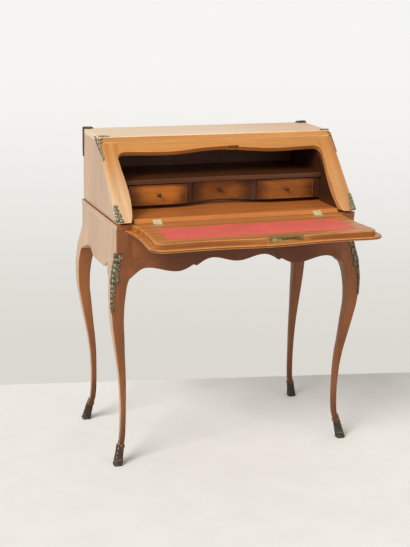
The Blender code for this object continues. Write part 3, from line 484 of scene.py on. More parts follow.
def leg_wood():
    """Leg, pale on its outer side with the painted sheen of the boards above it, and dark above its
    shoe.
    """
    def aged(shade):
        by_shoe = 1 - shade.step(shade.axis("Z"), *SHOE_DIRT)
        return [(shade.attribute("sunned"), c.side_deep, c.side_pale),
                (by_shoe * 0.75, dimmed(c.leg_deep, 0.35), dimmed(c.leg_deep, 0.80))]

    c = colours()
    return wood("leg_wood", c.leg_pale, c.leg_deep, ALONG_Z, 0.40, 0.8, 0.14, washes=aged)


def apron_wood():
    """Front apron and back rail, dark in the middle with the lid's painted shadow, which take the
    legs' colour toward their ends.
    """
    def paler(shade):
        by_leg = shade.step(shade.away(shade.axis("X")), *APRON_PALER)
        return [(by_leg * 0.9, c.leg_deep, c.leg_pale)]

    c = colours()
    return wood("apron_wood", c.apron_pale, c.apron_deep, ALONG_X, 0.40, specks=0.4, washes=paler)


def unit_wood():
    """Boards round the drawers."""
    c = colours()
    return wood("drawer_unit_wood", c.unit_pale, c.unit_deep, ALONG_X, 0.38)


def knob_wood():
    """Turned knobs, darker than the boards round the drawers."""
    c = colours()
    return wood("knob_wood", dimmed(c.unit_pale, 0.8), dimmed(c.unit_deep, 0.8), ALONG_Y, 0.34)


def back_wood():
    """Back panel."""
    c = colours()
    return wood("inside_back_wood", c.inside_pale, c.inside_deep, ALONG_X, 0.46)


def lining_wood():
    """Linings at the two ends of the inside."""
    c = colours()
    return wood("lining_wood", dimmed(c.inside_pale, 0.6), dimmed(c.inside_deep, 0.6), ALONG_Y, 0.46)


def box_wood():
    """Bare wood of the drawer boxes."""
    c = colours()
    return wood("drawer_box_wood", c.box_pale, c.box_deep, ALONG_Y, 0.62)


# How much of its colour each drawer's front shows under painted shade, the middle one set deepest in
# shade
DRAWER_PAINTED_LIGHT = {"left": 1.0, "middle": 0.58, "right": 0.72}


def drawer_wood(name, low, high):
    """Front of one drawer, dimmed as painted shade, darker toward its ends, and darker along its edges
    as painted shade of the gaps round it.
    """
    middle, half = (low + high) / 2, (high - low) / 2

    def darker_ends_and_gap_shade(shade):
        along = shade.away((shade.axis("X") - middle.x) * (1 / half.x))
        across = shade.away((shade.axis("Z") - middle.z) * (1 / half.z))
        smoke = shade.cloud(shade.stretched(shade.spot, (0.5, 1.0, 1.5)), 42.0, 3.0, 0.6)
        ends = shade.step(along + smoke * 0.6, 0.74, 1.36)
        # edges: painted shade of the gaps round the front
        edges = shade.step(across + smoke * 0.6, 0.92, 1.40)
        dark = dimmed(c.drawer_deep, 0.20 * kept), dimmed(c.drawer_deep, 0.55 * kept)
        return [(ends * 0.90, *dark), (edges * 0.75, *dark)]

    c = colours()
    # share of the colour left by the painted shade
    kept = DRAWER_PAINTED_LIGHT[name]
    return wood("drawer_wood_" + name, dimmed(c.drawer_pale, kept), dimmed(c.drawer_deep, kept),
                ALONG_X, 0.36, washes=darker_ends_and_gap_shade)


def leather():
    """Red skiver with a fine grain, blotches and rubbed places."""
    shade = Shade("red_leather")
    tint = colours().leather
    blotch = shade.cloud(shade.spot, 14.0, 4.0, 0.6)
    rubbed = shade.step(shade.cloud(shade.spot, 34.0, 3.0, 0.6), 0.52, 0.72)
    pebble = shade.node("ShaderNodeTexVoronoi", {"feature": "DISTANCE_TO_EDGE"},
                        {"Vector": shade.spot, "Scale": 640.0}, output="Distance")
    creases = shade.step(pebble, 0.0, 0.16)
    paint = shade.node("ShaderNodeValToRGB", {"stops": [
        (0.30, dimmed(tint, 0.88)), (0.54, tint), (0.74, dimmed(tint, 1.08))]}, {0: blotch})
    paint = shade.mix(rubbed * 0.14, paint, dimmed(tint, 1.30))
    paint = shade.mix((1 - creases) * 0.28, paint, dimmed(tint, 0.55))
    line = shade.attribute("tooling")
    paint = shade.mix(line * 0.55, paint, dimmed(tint, 0.42))
    return shade.paint(Base_Color=paint, Roughness=0.50 + blotch * 0.16 - rubbed * 0.08,
                       Normal=shade.bump(creases * 0.6 + blotch * 0.5, SKIN_DEPTH, 0.6),
                       Specular_IOR_Level=0.4)


def bronze(name, high, deep):
    """Cast mount: dark green-brown in the recesses and rubbed on the high places."""
    if name in bpy.data.materials:
        return bpy.data.materials[name]
    shade = Shade(name)
    relief = shade.attribute("relief")
    cast = shade.cloud(shade.spot, 420.0, 3.0, 0.6)
    cloudy = shade.cloud(shade.spot, 70.0, 3.0)
    height = relief + cast * 0.30 + cloudy * 0.34 - 0.32
    tint = shade.node("ShaderNodeValToRGB", {"stops": [
        (0.36, deep), (0.64, dimmed(high, 0.34)), (0.92, high)]}, {0: height})
    green = shade.step(cloudy, 0.52, 0.68)
    tint = shade.mix(green * 0.14, tint, srgb(96, 102, 72))
    rubbed = shade.step(height, 0.45, 0.95)
    return shade.paint(Base_Color=tint, Metallic=0.30 + rubbed * 0.40,
                       Roughness=0.56 - rubbed * 0.20 + cast * 0.10,
                       Normal=shade.bump(cast, CAST_DEPTH, 0.5))


def corner_bronze():
    """Pale greenish bronze of the case's front mounts."""
    return bronze("corner_bronze", colours().corner_high, colours().corner_deep)


def knee_bronze():
    """Bronze of the knee mounts."""
    return bronze("knee_bronze", colours().knee_high, colours().knee_deep)


def dark_bronze():
    """Dark bronze of the sabots and the rear mounts."""
    return bronze("dark_bronze", colours().shoe_high, colours().shoe_deep)


def brass(name, tint):
    """Sheet brass with tarnish, fingermarks and fine scratches."""
    if name in bpy.data.materials:
        return bpy.data.materials[name]
    shade = Shade(name)
    tarnish = shade.step(shade.cloud(shade.spot, 85.0, 4.0, 0.62), 0.36, 0.66)
    scratch = shade.cloud(shade.stretched(shade.spot, (40.0, 1500.0, 1500.0)), 1.0, 2.0)
    lines = shade.step(scratch, 0.56, 0.66)
    paint = shade.mix(tarnish * 0.6, tint, dimmed(tint, 0.48))
    paint = shade.mix(lines * 0.22, paint, dimmed(tint, 1.25))
    return shade.paint(Base_Color=paint, Metallic=0.85 - tarnish * 0.25,
                       Roughness=0.34 + tarnish * 0.22 + lines * 0.06,
                       Normal=shade.bump(scratch, SCRATCH_DEPTH, 0.35))


def steel(name="drawn_steel", bright=1.0):
    """Plain steel with drawn scratches and a little rust."""
    if name in bpy.data.materials:
        return bpy.data.materials[name]
    shade = Shade(name)
    tint = dimmed(colours().steel, bright)
    drawn = shade.cloud(shade.stretched(shade.spot, (2000.0, 60.0, 2000.0)), 1.0, 2.0)
    rust = shade.step(shade.cloud(shade.spot, 160.0, 3.0), 0.56, 0.70)
    paint = shade.mix(drawn * 0.5, dimmed(tint, 0.7), tint)
    paint = shade.mix(rust * 0.6, paint, srgb(96, 62, 40))
    return shade.paint(Base_Color=paint, Metallic=0.95 - rust * 0.6,
                       Roughness=0.30 + drawn * 0.15 + rust * 0.3)


# Meshes and finished pieces


def cad_copy(node):
    """Edit mesh of a solid with its loose triangles welded and its flats joined."""
    bm = bmesh.new()
    bm.from_mesh(NODES[node].data)
    bmesh.ops.remove_doubles(bm, verts=bm.verts, dist=SAME)
    bmesh.ops.dissolve_limit(bm, angle_limit=FLAT, verts=bm.verts, edges=bm.edges)
    return bm


def round_over(bm, width, segments=2, wanted=None, worn=1.0):
    """Rounds sharp edges that have room for it and marks how much paler the round is painted, for wear
    and painted highlight.

    wanted, where given, says which edges may be rounded.
    """
    wear = bm.faces.layers.float.get("wear") or bm.faces.layers.float.new("wear")
    room = width * 1.4
    tight = {v for v in bm.verts if any(e.calc_length() < room for e in v.link_edges)}
    edges = [e for e in bm.edges
             if e.is_manifold and e.calc_face_angle() > SHARP
             and e.verts[0] not in tight and e.verts[1] not in tight
             and (wanted is None or wanted(e))]
    made = bmesh.ops.bevel(bm, geom=edges, offset=width, offset_type="OFFSET", affect="EDGES",
                           segments=segments, profile=0.5, material=-1, clamp_overlap=False)
    for face in made["faces"]:
        face[wear] = worn
    bmesh.ops.dissolve_degenerate(bm, edges=bm.edges, dist=WELD)


def settle(bm, name, material, nodes, body=None, slot=None, smooth=SMOOTH):
    """Finished piece out of an edit mesh, riding its body in place of some solids.

    body is given where it takes no solid's place. slot is not used.
    """
    mesh = bpy.data.meshes.new(name)
    bm.to_mesh(mesh)
    bm.free()
    mesh.materials.append(material)
    mesh.shade_smooth()
    if smooth:
        mesh.set_sharp_from_angle(angle=smooth)
    piece = bpy.data.objects.new(name, mesh)
    bpy.context.scene.collection.objects.link(piece)
    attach(piece, body or BODY_OF[nodes[0]])
    if nodes:
        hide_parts(*nodes)
    slot or SLOT_OF[nodes[0]]
    return piece


def even_shading(piece):
    """Keeps big flats flat beside their rounded edges."""
    shading = piece.modifiers.new("even_shading", "WEIGHTED_NORMAL")
    shading.keep_sharp = True
    shading.weight = 80


def board(node, material, width=None, wanted=None):
    """Solid board with its edges rounded over."""
    bm = cad_copy(node)
    round_over(bm, width or sizes().board_round, wanted=wanted)
    even_shading(settle(bm, node + "_finished", material, [node]))


def slit(bm, axis, place):
    """New edges right across an edit mesh, which stays whole."""
    point, normal = Vector(), Vector()
    point[axis] = place
    normal[axis] = 1
    bmesh.ops.bisect_plane(bm, geom=bm.verts[:] + bm.edges[:] + bm.faces[:], dist=2 * SAME,
                           plane_co=point, plane_no=normal)


def dress(node, material):
    """Finish on a solid that is shown as it is."""
    NODES[node].data.materials.clear()
    NODES[node].data.materials.append(material)


class LegShape:
    """Sections of a leg read from its solid, for pieces that lie on the leg.

    A section is worked out in p and q, the distances out toward the leg's two outer faces. A row
    holds a height, the reach along p and q, the inside along p and q, and the arris radius.
    """

    STEPS = 4               # points round a quarter turn of an arris
    CRISP = 0.0003          # round of a corner that meets an apron

    def __init__(self, name):
        """Reads the rows from the leg at one of the four corners."""
        self.side, self.end = CORNERS[name]
        levels = {}
        for vertex in NODES["leg_" + name].data.vertices:
            levels.setdefault(round(vertex.co.z, 4), []).append(
                (self.side * vertex.co.x, self.end * vertex.co.y))
        self.rows = []
        for z in sorted(levels):
            reach_p = max(p for p, q in levels[z])
            reach_q = max(q for p, q in levels[z])
            flat = max(q for p, q in levels[z] if p > reach_p - SAME)
            self.rows.append((z, reach_p, reach_q, min(p for p, q in levels[z]),
                              min(q for p, q in levels[z]), reach_q - flat))
        self.bottom, self.top = self.rows[0][0], self.rows[-1][0]
        inside = self.rows[-1][3]
        self.ear = min(row[0] for row in self.rows if abs(row[3] - inside) < SAME)

    def heights(self, pitch):
        """The solid's own levels, with more between them where they lie wider than the pitch."""
        made = [self.bottom]
        for row in self.rows[1:]:
            start = made[-1]
            count = math.ceil((row[0] - start) / pitch)
            made += [start + (row[0] - start) * (i + 1) / count for i in range(count)]
        return made

    def row(self, z):
        """Reaches, insides and arris radius at any height, smooth through the solid's rings."""
        rows = self.rows
        z = min(max(z, self.bottom), self.top)
        i = 0
        while i < len(rows) - 2 and z > rows[i + 1][0]:
            i += 1
        first, second = rows[i], rows[i + 1]
        before, after = rows[max(i - 1, 0)], rows[min(i + 2, len(rows) - 1)]
        span = second[0] - first[0]
        t = (z - first[0]) / span
        values = []
        for k in range(1, len(first)):
            start = (second[k] - before[k]) * span / (second[0] - before[0])
            finish = (after[k] - first[k]) * span / (after[0] - first[0])
            if abs(first[k] - before[k]) < SAME:
                start = 0.0
            if abs(after[k] - second[k]) < SAME:
                finish = 0.0
            values.append(first[k] * (2 * t ** 3 - 3 * t ** 2 + 1)
                          + start * (t ** 3 - 2 * t ** 2 + t)
                          + second[k] * (3 * t ** 2 - 2 * t ** 3) + finish * (t ** 3 - t ** 2))
        return values

    def section(self, z):
        """Points round the leg from its outer arris, each with the direction it faces."""
        high_p, high_q, low_p, low_q, radius = self.row(z)
        corners = ((high_p, high_q, 1, 1), (low_p, high_q, -1, 1), (low_p, low_q, -1, -1),
                   (high_p, low_q, 1, -1), (high_p, high_q, 1, 1))
        points = []
        for index, (p, q, sign_p, sign_q) in enumerate(corners):
            by_apron = index in (1, 3) and z > self.ear - NEAR
            bend = self.CRISP if by_apron else radius
            steps = range(self.STEPS + 1)
            if index == 0:
                steps = range(self.STEPS // 2, self.STEPS + 1)
            elif index == 4:
                steps = range(self.STEPS // 2)
            for step in steps:
                turn = math.pi / 2 * (index + step / self.STEPS)
                facing = Vector((math.cos(turn), math.sin(turn)))
                middle = Vector((p - sign_p * bend, q - sign_q * bend))
                points.append((middle + facing * bend, facing))
        return points

    def at(self, flat, z):
        """Place in the desk's frame."""
        return Vector((self.side * flat.x, self.end * flat.y, z))

    def ring(self, z, lift=0.0):
        """Points right round the leg at one height."""
        return [self.at(flat + facing * lift, z) for flat, facing in self.section(z)]

    def skin(self, z, share, lift, distance=None):
        """Place over the leg, round from its outer arris by a share of half the girth.

        distance, where given, is that way round in metres instead.
        """
        points = self.section(z)
        points.append(points[0])
        lengths = [0.0]
        for (a, _), (b, _) in zip(points, points[1:]):
            lengths.append(lengths[-1] + (b - a).length)
        along = (share * lengths[-1] / 2 if distance is None else distance) % lengths[-1]
        i = 0
        while i < len(points) - 2 and along > lengths[i + 1]:
            i += 1
        part = (along - lengths[i]) / max(lengths[i + 1] - lengths[i], TINY)
        flat = points[i][0].lerp(points[i + 1][0], part)
        facing = points[i][1].lerp(points[i + 1][1], part).normalized()
        return self.at(flat + facing * lift, z)


def join(bm, other):
    """Adds a second edit mesh to the first."""
    mesh = bpy.data.meshes.new("joined")
    other.to_mesh(mesh)
    other.free()
    bm.from_mesh(mesh)
    bpy.data.meshes.remove(mesh)


def ring_loop(bm, points):
    """Closed row of edges through some points."""
    verts = [bm.verts.new(point) for point in points]
    return [bm.edges.new((a, b)) for a, b in zip(verts, verts[1:] + verts[:1])]


def skinned(rings):
    """Edit mesh bridged over closed rows, capped at both ends."""
    bm = bmesh.new()
    loops = [ring_loop(bm, ring) for ring in rings]
    for low, high in zip(loops, loops[1:]):
        bmesh.ops.bridge_loops(bm, edges=low + high)
    bmesh.ops.holes_fill(bm, edges=[e for e in bm.edges if e.is_boundary])
    bmesh.ops.recalc_face_normals(bm, faces=bm.faces)
    return bm


SEAM = 0.9999               # points farther across a sheet than this are on its two ends


def leaf_sheet(across, along, place, height, rise=1.0, closed=False, pierced=False):
    """Casting as a closed sheet: a grid laid by place(u, t, lift), and its back on the wood.

    u runs from -1 to 1 across and t from 0 to 1 along. height(u, t) is from 0 to 1, and is kept
    on the vertices so that the finish can darken the recesses. A closed sheet goes all round,
    and a pierced one is cut away where its height is 0 and where it would hang by one point.
    """
    bm = bmesh.new()
    bmesh.ops.create_grid(bm, x_segments=across, y_segments=along, size=1.0)
    relief = bm.verts.layers.float.new("relief")
    for vertex in bm.verts:
        vertex[relief] = height(vertex.co.x, (vertex.co.y + 1) / 2)
    if pierced:
        bare = [f for f in bm.faces if max(v[relief] for v in f.verts) <= 0]
        bmesh.ops.delete(bm, geom=bare, context="FACES")
        pinched = bm.verts[:]
        while pinched:
            pinched = [v for v in bm.verts if sum(e.is_boundary for e in v.link_edges) > 2]
            bmesh.ops.delete(bm, geom=pinched, context="VERTS")
        rim = [v for v in bm.verts if v.is_boundary]
        for _ in range(2):
            bmesh.ops.smooth_vert(bm, verts=rim, factor=0.5, use_axis_x=True, use_axis_y=True)
    made = bmesh.ops.extrude_face_region(bm, geom=bm.faces[:], use_keep_orig=True)
    front = {item for item in made["geom"] if isinstance(item, bmesh.types.BMVert)}
    if closed:
        ends = [f for f in bm.faces if min(abs(v.co.x) for v in f.verts) > SEAM]
        bmesh.ops.delete(bm, geom=ends, context="FACES_ONLY")
    for vertex in bm.verts:
        lift = AIR
        if vertex in front:
            lift += CAST_THIN + vertex[relief] * rise * sizes().leaf_relief
        vertex.co = place(vertex.co.x, (vertex.co.y + 1) / 2, lift)
    bmesh.ops.remove_doubles(bm, verts=bm.verts, dist=WELD)
    bmesh.ops.recalc_face_normals(bm, faces=bm.faces)
    return bm


def over_arris(along, lift, radius):
    """Place past two faces that meet at a rounded arris, a signed distance round from it."""
    bend = radius * math.pi / 4
    if abs(along) <= bend:
        turn = math.pi / 4 - along / radius
        reach = radius + lift
        return reach * math.cos(turn) - radius, reach * math.sin(turn) - radius
    flat = -radius - (abs(along) - bend)
    return (lift, flat) if along > 0 else (flat, lift)


def bell(value, width):
    """Smooth bump of height 1 round zero."""
    return math.exp(-(value / width) ** 2)


def pearl(x, y, radius):
    """Half ball."""
    def height(p, q):
        return math.sqrt(max(1 - ((p - x) ** 2 + (q - y) ** 2) / radius ** 2, 0.0))

    return height


def leaf(x, y, along_x, along_y, half_width):
    """Pointed leaf from its base along to its tip, with a groove down its middle."""
    reach = math.hypot(along_x, along_y)

    def height(p, q):
        along = ((p - x) * along_x + (q - y) * along_y) / reach ** 2
        if not 0 < along < 1:
            return 0.0
        wide = half_width * math.sin(math.pi * along ** 0.7)
        off = abs((p - x) * along_y - (q - y) * along_x) / reach / wide
        if off >= 1:
            return 0.0
        return 0.12 + 0.88 * (1 - off) - 0.55 * bell(off, 0.20)

    return height


def scroll(x, y, radius, hand):
    """Rolled leaf end: one ridge that winds in to a pearl."""
    def height(p, q):
        across, down = hand * (p - x) / radius, (q - y) / radius
        reach = math.hypot(across, down)
        if reach >= 1:
            return 0.0
        winding = 1.5 * reach - math.atan2(down, across) / math.tau
        ridge = 0.5 + 0.5 * math.cos(math.tau * winding)
        return max(0.05 + 0.95 * ridge ** 2 * (1 - reach ** 10), bell(reach, 0.28))

    return height


# Radii of the pearls on a drop
SIDE_PEARL, MIDDLE_PEARL = 0.0017, 0.0020


def drop(arm, tall, pairs, seed):
    """Relief of a cast drop: two scrolls at its head, leaves in pairs down it, and pearls.

    arm(t) is half its width a share t of the way down, and tall is its whole way down. The
    leaves differ a little, as hand chasing leaves them.
    """
    hand = random.Random(seed)
    head = arm(0.08)
    start = 0.62 * head / tall
    pitch = (0.90 - start) / pairs
    forms = [leaf(0.0, 0.0, 0.0, 0.97 * tall, 0.10 * head),
             leaf(0.0, 0.86 * tall, 0.0, 0.14 * tall, 0.8 * arm(0.9))]
    forms += [scroll(sign * 0.54 * head, 0.44 * head, 0.44 * head, sign) for sign in (-1, 1)]
    for k in range(pairs):
        t = start + pitch * k
        wide = arm(t + 0.6 * pitch)
        for sign in (-1, 1):
            reach = wide * hand.uniform(0.72, 1.0)
            fall = pitch * tall * hand.uniform(0.9, 1.7)
            forms.append(leaf(sign * 0.05 * wide, t * tall, sign * reach, fall,
                              hand.uniform(0.28, 0.42) * min(wide, pitch * tall * 1.4)))
            forms.append(pearl(sign * wide * hand.uniform(0.45, 0.75),
                               (t + pitch * hand.uniform(0.0, 0.3)) * tall, SIDE_PEARL))
        forms.append(pearl(0.0, (t + 0.3 * pitch) * tall, MIDDLE_PEARL))

    def height(u, t):
        p, q = u * arm(t), t * tall
        return min(max(form(p, q) for form in forms), 1.0)

    return height


# The open spray, in distances back from the slanted arris and down it.
# Its stem is a row of points, a frond has its base on the arris and then its tip, a curl has its
# middle, radius and hand, and a lone leaf has its base, its reach and its half-width.
SPRAY_STEM = ((0.049, 0.003), (0.047, 0.016), (0.043, 0.029), (0.031, 0.043), (0.018, 0.057),
              (0.009, 0.069), (0.002, 0.081))
SPRAY_FRONDS = (((0.002, 0.012), (0.034, 0.013)), ((0.002, 0.024), (0.041, 0.026)),
                ((0.002, 0.038), (0.027, 0.042)))
SPRAY_CURLS = ((0.040, 0.008, 0.0062, 1), (0.010, 0.0075, 0.0060, -1))
SPRAY_LEAVES = ((0.001, 0.010, -0.0105, -0.006, 0.0026), (0.0, 0.020, -0.008, -0.003, 0.0022),
                (0.001, 0.066, 0.0, 0.016, 0.0028), (0.0008, 0.004, 0.0, 0.076, 0.0014))
SPRAY_PEARLS = [(0.0008, 0.016 + 0.0075 * k, 0.0018) for k in range(8)]
STEM_WIDE = 0.0021          # half-width of the stem
LEAFLET = 0.006             # reach of the leaves on it


def spray(seed):
    """Relief of an open leaf spray: a bent stem with leaves, fronds from the arris, and pearls."""
    hand = random.Random(seed)
    forms = [scroll(*curl) for curl in SPRAY_CURLS]
    forms += [leaf(*lone) for lone in SPRAY_LEAVES]
    for (x, y), (next_x, next_y) in zip(SPRAY_STEM, SPRAY_STEM[1:]):
        along_x, along_y = next_x - x, next_y - y
        forms.append(leaf(x - 0.2 * along_x, y - 0.2 * along_y, 1.4 * along_x, 1.4 * along_y,
                          STEM_WIDE))
        forms.append(leaf(next_x, next_y, 0.3 * along_x + LEAFLET, -LEAFLET,
                          hand.uniform(0.0020, 0.0026)))
    for (x, y), (tip_x, tip_y) in SPRAY_FRONDS:
        forms.append(leaf(x, y, tip_x - x, tip_y - y, hand.uniform(0.0040, 0.0048)))
    forms += [pearl(*ball) for ball in SPRAY_PEARLS]

    def height(back, down):
        return min(max(form(back, down) for form in forms), 1.0)

    return height


def screw_head(bm, place, radius, turn):
    """Slotted head let into a plate, its face just proud of the plate's.

    It is two half discs with the slot between them, on a thin disc that closes the slot's foot.
    """
    slot, sides = radius * 0.22, 24
    thick, base_thick = 0.0006, 0.0003
    head = bmesh.new()
    bmesh.ops.create_cone(head, cap_ends=True, segments=sides, radius1=radius, radius2=radius * 0.9,
                          depth=thick)
    geometry = head.verts[:] + head.edges[:] + head.faces[:]
    bmesh.ops.bisect_plane(head, geom=geometry, plane_co=(slot / 2, 0, 0), plane_no=(1, 0, 0),
                           clear_inner=True)
    bmesh.ops.holes_fill(head, edges=[e for e in head.edges if e.is_boundary])
    other = bmesh.ops.duplicate(head, geom=head.verts[:] + head.edges[:] + head.faces[:])["geom"]
    bmesh.ops.rotate(head, verts=[v for v in other if isinstance(v, bmesh.types.BMVert)],
                     matrix=Matrix.Rotation(math.pi, 3, "Z"), cent=(0, 0, 0))
    base = bmesh.ops.create_cone(head, cap_ends=True, segments=sides, radius1=radius * 0.98,
                                 radius2=radius * 0.98, depth=base_thick)["verts"]
    bmesh.ops.translate(head, verts=base, vec=(0, 0, -base_thick / 2))
    bmesh.ops.recalc_face_normals(head, faces=head.faces)
    bmesh.ops.transform(head, verts=head.verts, matrix=place @ Matrix.Rotation(turn, 4, "Z"))
    join(bm, head)


# Operators


class DESK_OT_case(bpy.types.Operator):
    """Top, sides, back and the slanted front frame"""

    bl_idname = "desk.case"
    bl_label = "Case boards"
    JOINT_REACH = 0.001     # about the joint of a stile and the rail, which stays sharp
    STRIKE_MARGIN = 0.010   # beside the strike plate, where the rail stays sharp
    STRIKE_ABOVE = 0.012

    def execute(self, context):
        low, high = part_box("strike_plate")
        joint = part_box("front_top_rail")[1].x

        def off_joint(edge):
            """Not in the joint of a stile and the rail."""
            return any(abs(abs(v.co.x) - joint) > self.JOINT_REACH for v in edge.verts)

        def clear(edge):
            """Not in a joint, and not beside the strike plate."""
            middle = (edge.verts[0].co + edge.verts[1].co) / 2
            beside = low.x - self.STRIKE_MARGIN < middle.x < high.x + self.STRIKE_MARGIN
            return off_joint(edge) and not (beside and middle.z < high.z + self.STRIKE_ABOVE)

        board("top_board", top_wood())
        for side, _ in SIDES:
            board("side_panel_" + side, side_wood())
            board("front_stile_" + side, stile_wood(side), ARRIS, off_joint)
            dress("lining_" + side, lining_wood())
        board("front_top_rail", front_wood(), ARRIS, clear)
        dress("back_panel", back_wood())
        board("back_rail", apron_wood())
        return {"FINISHED"}


class DESK_OT_floors(bpy.types.Operator):
    """Case floor and the raised inner floor"""

    bl_idname = "desk.floors"
    bl_label = "Floors"
    EDGE_ROUND = 0.0010
    LONG = 0.05             # edges that run farther than this across the desk are rounded

    def execute(self, context):
        def long_edge(edge):
            return abs(edge.verts[0].co.x - edge.verts[1].co.x) > self.LONG

        board("case_floor", case_floor_wood(), self.EDGE_ROUND, long_edge)
        board("inner_floor", floor_wood(), self.EDGE_ROUND, long_edge)
        return {"FINISHED"}


class DESK_OT_drawers(bpy.types.Operator):
    """Drawer fronts with their beads, boxes and knobs, and the unit that holds them"""

    bl_idname = "desk.drawers"
    bl_label = "Drawers"
    BOX_ROUND = 0.0007
    BEAD_ROUND = 0.0005
    BEAD_FALL = 0.0006      # width of the slope from the bead down to the field
    TURNING = 24            # points round a knob

    def execute(self, context):
        for name in ("drawer_bearer", "shelf"):
            board(name, unit_wood())
        for side, _ in SIDES:
            board("divider_" + side, unit_wood())
            board("end_panel_" + side, unit_wood())
        for place in ("left", "middle", "right"):
            self.front(place)
            board("drawer_box_" + place, box_wood(), self.BOX_ROUND)
            self.knob(place)
        return {"FINISHED"}

    def front(self, place):
        """Front with a bead standing round its face."""
        node = "drawer_front_" + place
        bm = cad_copy(node)
        faces = [f for f in bm.faces if f.normal.y < -0.7]
        bmesh.ops.inset_region(bm, faces=faces, thickness=sizes().bead_width, depth=0.0,
                               use_even_offset=True, use_boundary=True)
        bmesh.ops.inset_region(bm, faces=faces, thickness=self.BEAD_FALL,
                               depth=-sizes().bead_height, use_even_offset=True, use_boundary=True)
        round_over(bm, self.BEAD_ROUND, worn=0.3)
        material = drawer_wood(place, *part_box(node))
        even_shading(settle(bm, node + "_beaded", material, [node]))

    def knob(self, place):
        """Turned knob, smoothed over the solid's own turning."""
        node = "drawer_knob_" + place
        low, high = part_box(node)
        middle = (low + high) / 2
        profile = {}
        for vertex in NODES[node].data.vertices:
            reach = math.hypot(vertex.co.x - middle.x, vertex.co.z - middle.z)
            y = round(vertex.co.y, 5)
            profile[y] = max(profile.get(y, 0.0), reach)
        bm = bmesh.new()
        rows = [(0.0, max(profile))] + [(profile[y], y) for y in sorted(profile, reverse=True)]
        verts = [bm.verts.new((middle.x + reach, y, middle.z)) for reach, y in rows]
        edges = [bm.edges.new(pair) for pair in zip(verts, verts[1:])]
        bmesh.ops.spin(bm, geom=verts + edges, axis=(0, 1, 0), cent=(middle.x, 0, middle.z),
                       angle=math.tau, steps=self.TURNING, use_merge=True)
        bmesh.ops.remove_doubles(bm, verts=bm.verts, dist=SAME)
        bmesh.ops.recalc_face_normals(bm, faces=bm.faces)
        piece = settle(bm, node + "_turned", knob_wood(), [node], smooth=None)
        refined = piece.modifiers.new("refined", "SUBSURF")
        refined.levels = 1
        refined.render_levels = 1


class DESK_OT_lid(bpy.types.Operator):
    """Fall front with its leather writing surface"""

    bl_idname = "desk.lid"
    bl_label = "Fall front"
    MARGIN = 0.002          # about the leather's bed and the lock, where edges stay sharp
    HINGE_EDGE = 0.004      # from the hinge line, where every edge stays sharp
    HINGE_BED = 0.03        # from the hinge line, where the edges of the hinge beds stay sharp
    HINGE_SPAN = 0.78       # share of the case's half-width that holds the hinges
    LOWER_BY = 0.0005       # edges that fall more than this are upright ones
    TOOL_WIDTH, TOOL_DEPTH = 0.0008, 0.0003
    # painted shade on the step's wall and on the lip's sides
    WALL_GRIME, LIP_GRIME = 0.25, 0.92
    SKIN_PITCH, SKIN_CUTS = 0.05, 12

    def execute(self, context):
        self.lid_board()
        self.leather()
        return {"FINISHED"}

    def lid_board(self):
        """Board with its lip and its inner edge rounded over, clear of the lock and hinges."""
        leather_low, leather_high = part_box("lid_leather")
        lock_low, lock_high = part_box("lock")
        hinge_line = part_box("lid_board")[1].y

        def within(value, start, end):
            return start - self.MARGIN < value < end + self.MARGIN

        def outer(edge):
            """A convex edge of the board's own outline, and none of a bed's."""
            middle = (edge.verts[0].co + edge.verts[1].co) / 2
            if middle.y > hinge_line - self.HINGE_EDGE:
                return False
            in_bed = (within(middle.x, leather_low.x, leather_high.x)
                      and within(middle.y, leather_low.y, leather_high.y))
            by_lock = (within(middle.x, lock_low.x, lock_high.x)
                       and middle.z > lock_low.z - self.LOWER_BY
                       and middle.y < lock_high.y + self.MARGIN)
            upright = abs(edge.verts[0].co.z - edge.verts[1].co.z) > self.LOWER_BY
            by_hinge = (middle.y > hinge_line - self.HINGE_BED
                        and abs(middle.x) < HALF * self.HINGE_SPAN)
            return edge.is_convex and not (in_bed or by_lock or by_hinge or upright)

        bm = cad_copy("lid_board")
        grime = bm.faces.layers.float.new("grime")
        round_over(bm, sizes().lid_round, 3, outer, worn=0.65)
        wear = bm.faces.layers.float["wear"]
        # upright faces that are not rounded take painted shade, most on the lip
        for face in bm.faces:
            if abs(face.normal.z) < 0.5 and not face[wear]:
                above_lip = face.calc_center_median().z > LIP_TOP
                face[grime] = self.WALL_GRIME if above_lip else self.LIP_GRIME
        even_shading(settle(bm, "lid_board_finished", lid_wood(), ["lid_board"]))

    def leather(self):
        """Skin with a soft edge and a tooled line pressed round it."""
        bm = cad_copy("lid_leather")
        tooling = bm.faces.layers.float.new("tooling")
        top = [f for f in bm.faces if f.normal.z > 0.9]
        bmesh.ops.inset_region(bm, faces=top, thickness=sizes().tooling_inset, depth=0.0)
        for depth in (-self.TOOL_DEPTH, self.TOOL_DEPTH):
            line = bmesh.ops.inset_region(bm, faces=top, thickness=self.TOOL_WIDTH, depth=depth)
            for face in line["faces"]:
                face[tooling] = 1.0
        long = [e for e in bm.edges if e.calc_length() > self.SKIN_PITCH]
        bmesh.ops.subdivide_edges(bm, edges=long, cuts=self.SKIN_CUTS, use_grid_fill=True)
        even_shading(settle(bm, "lid_leather_skin", leather(), ["lid_leather"]))


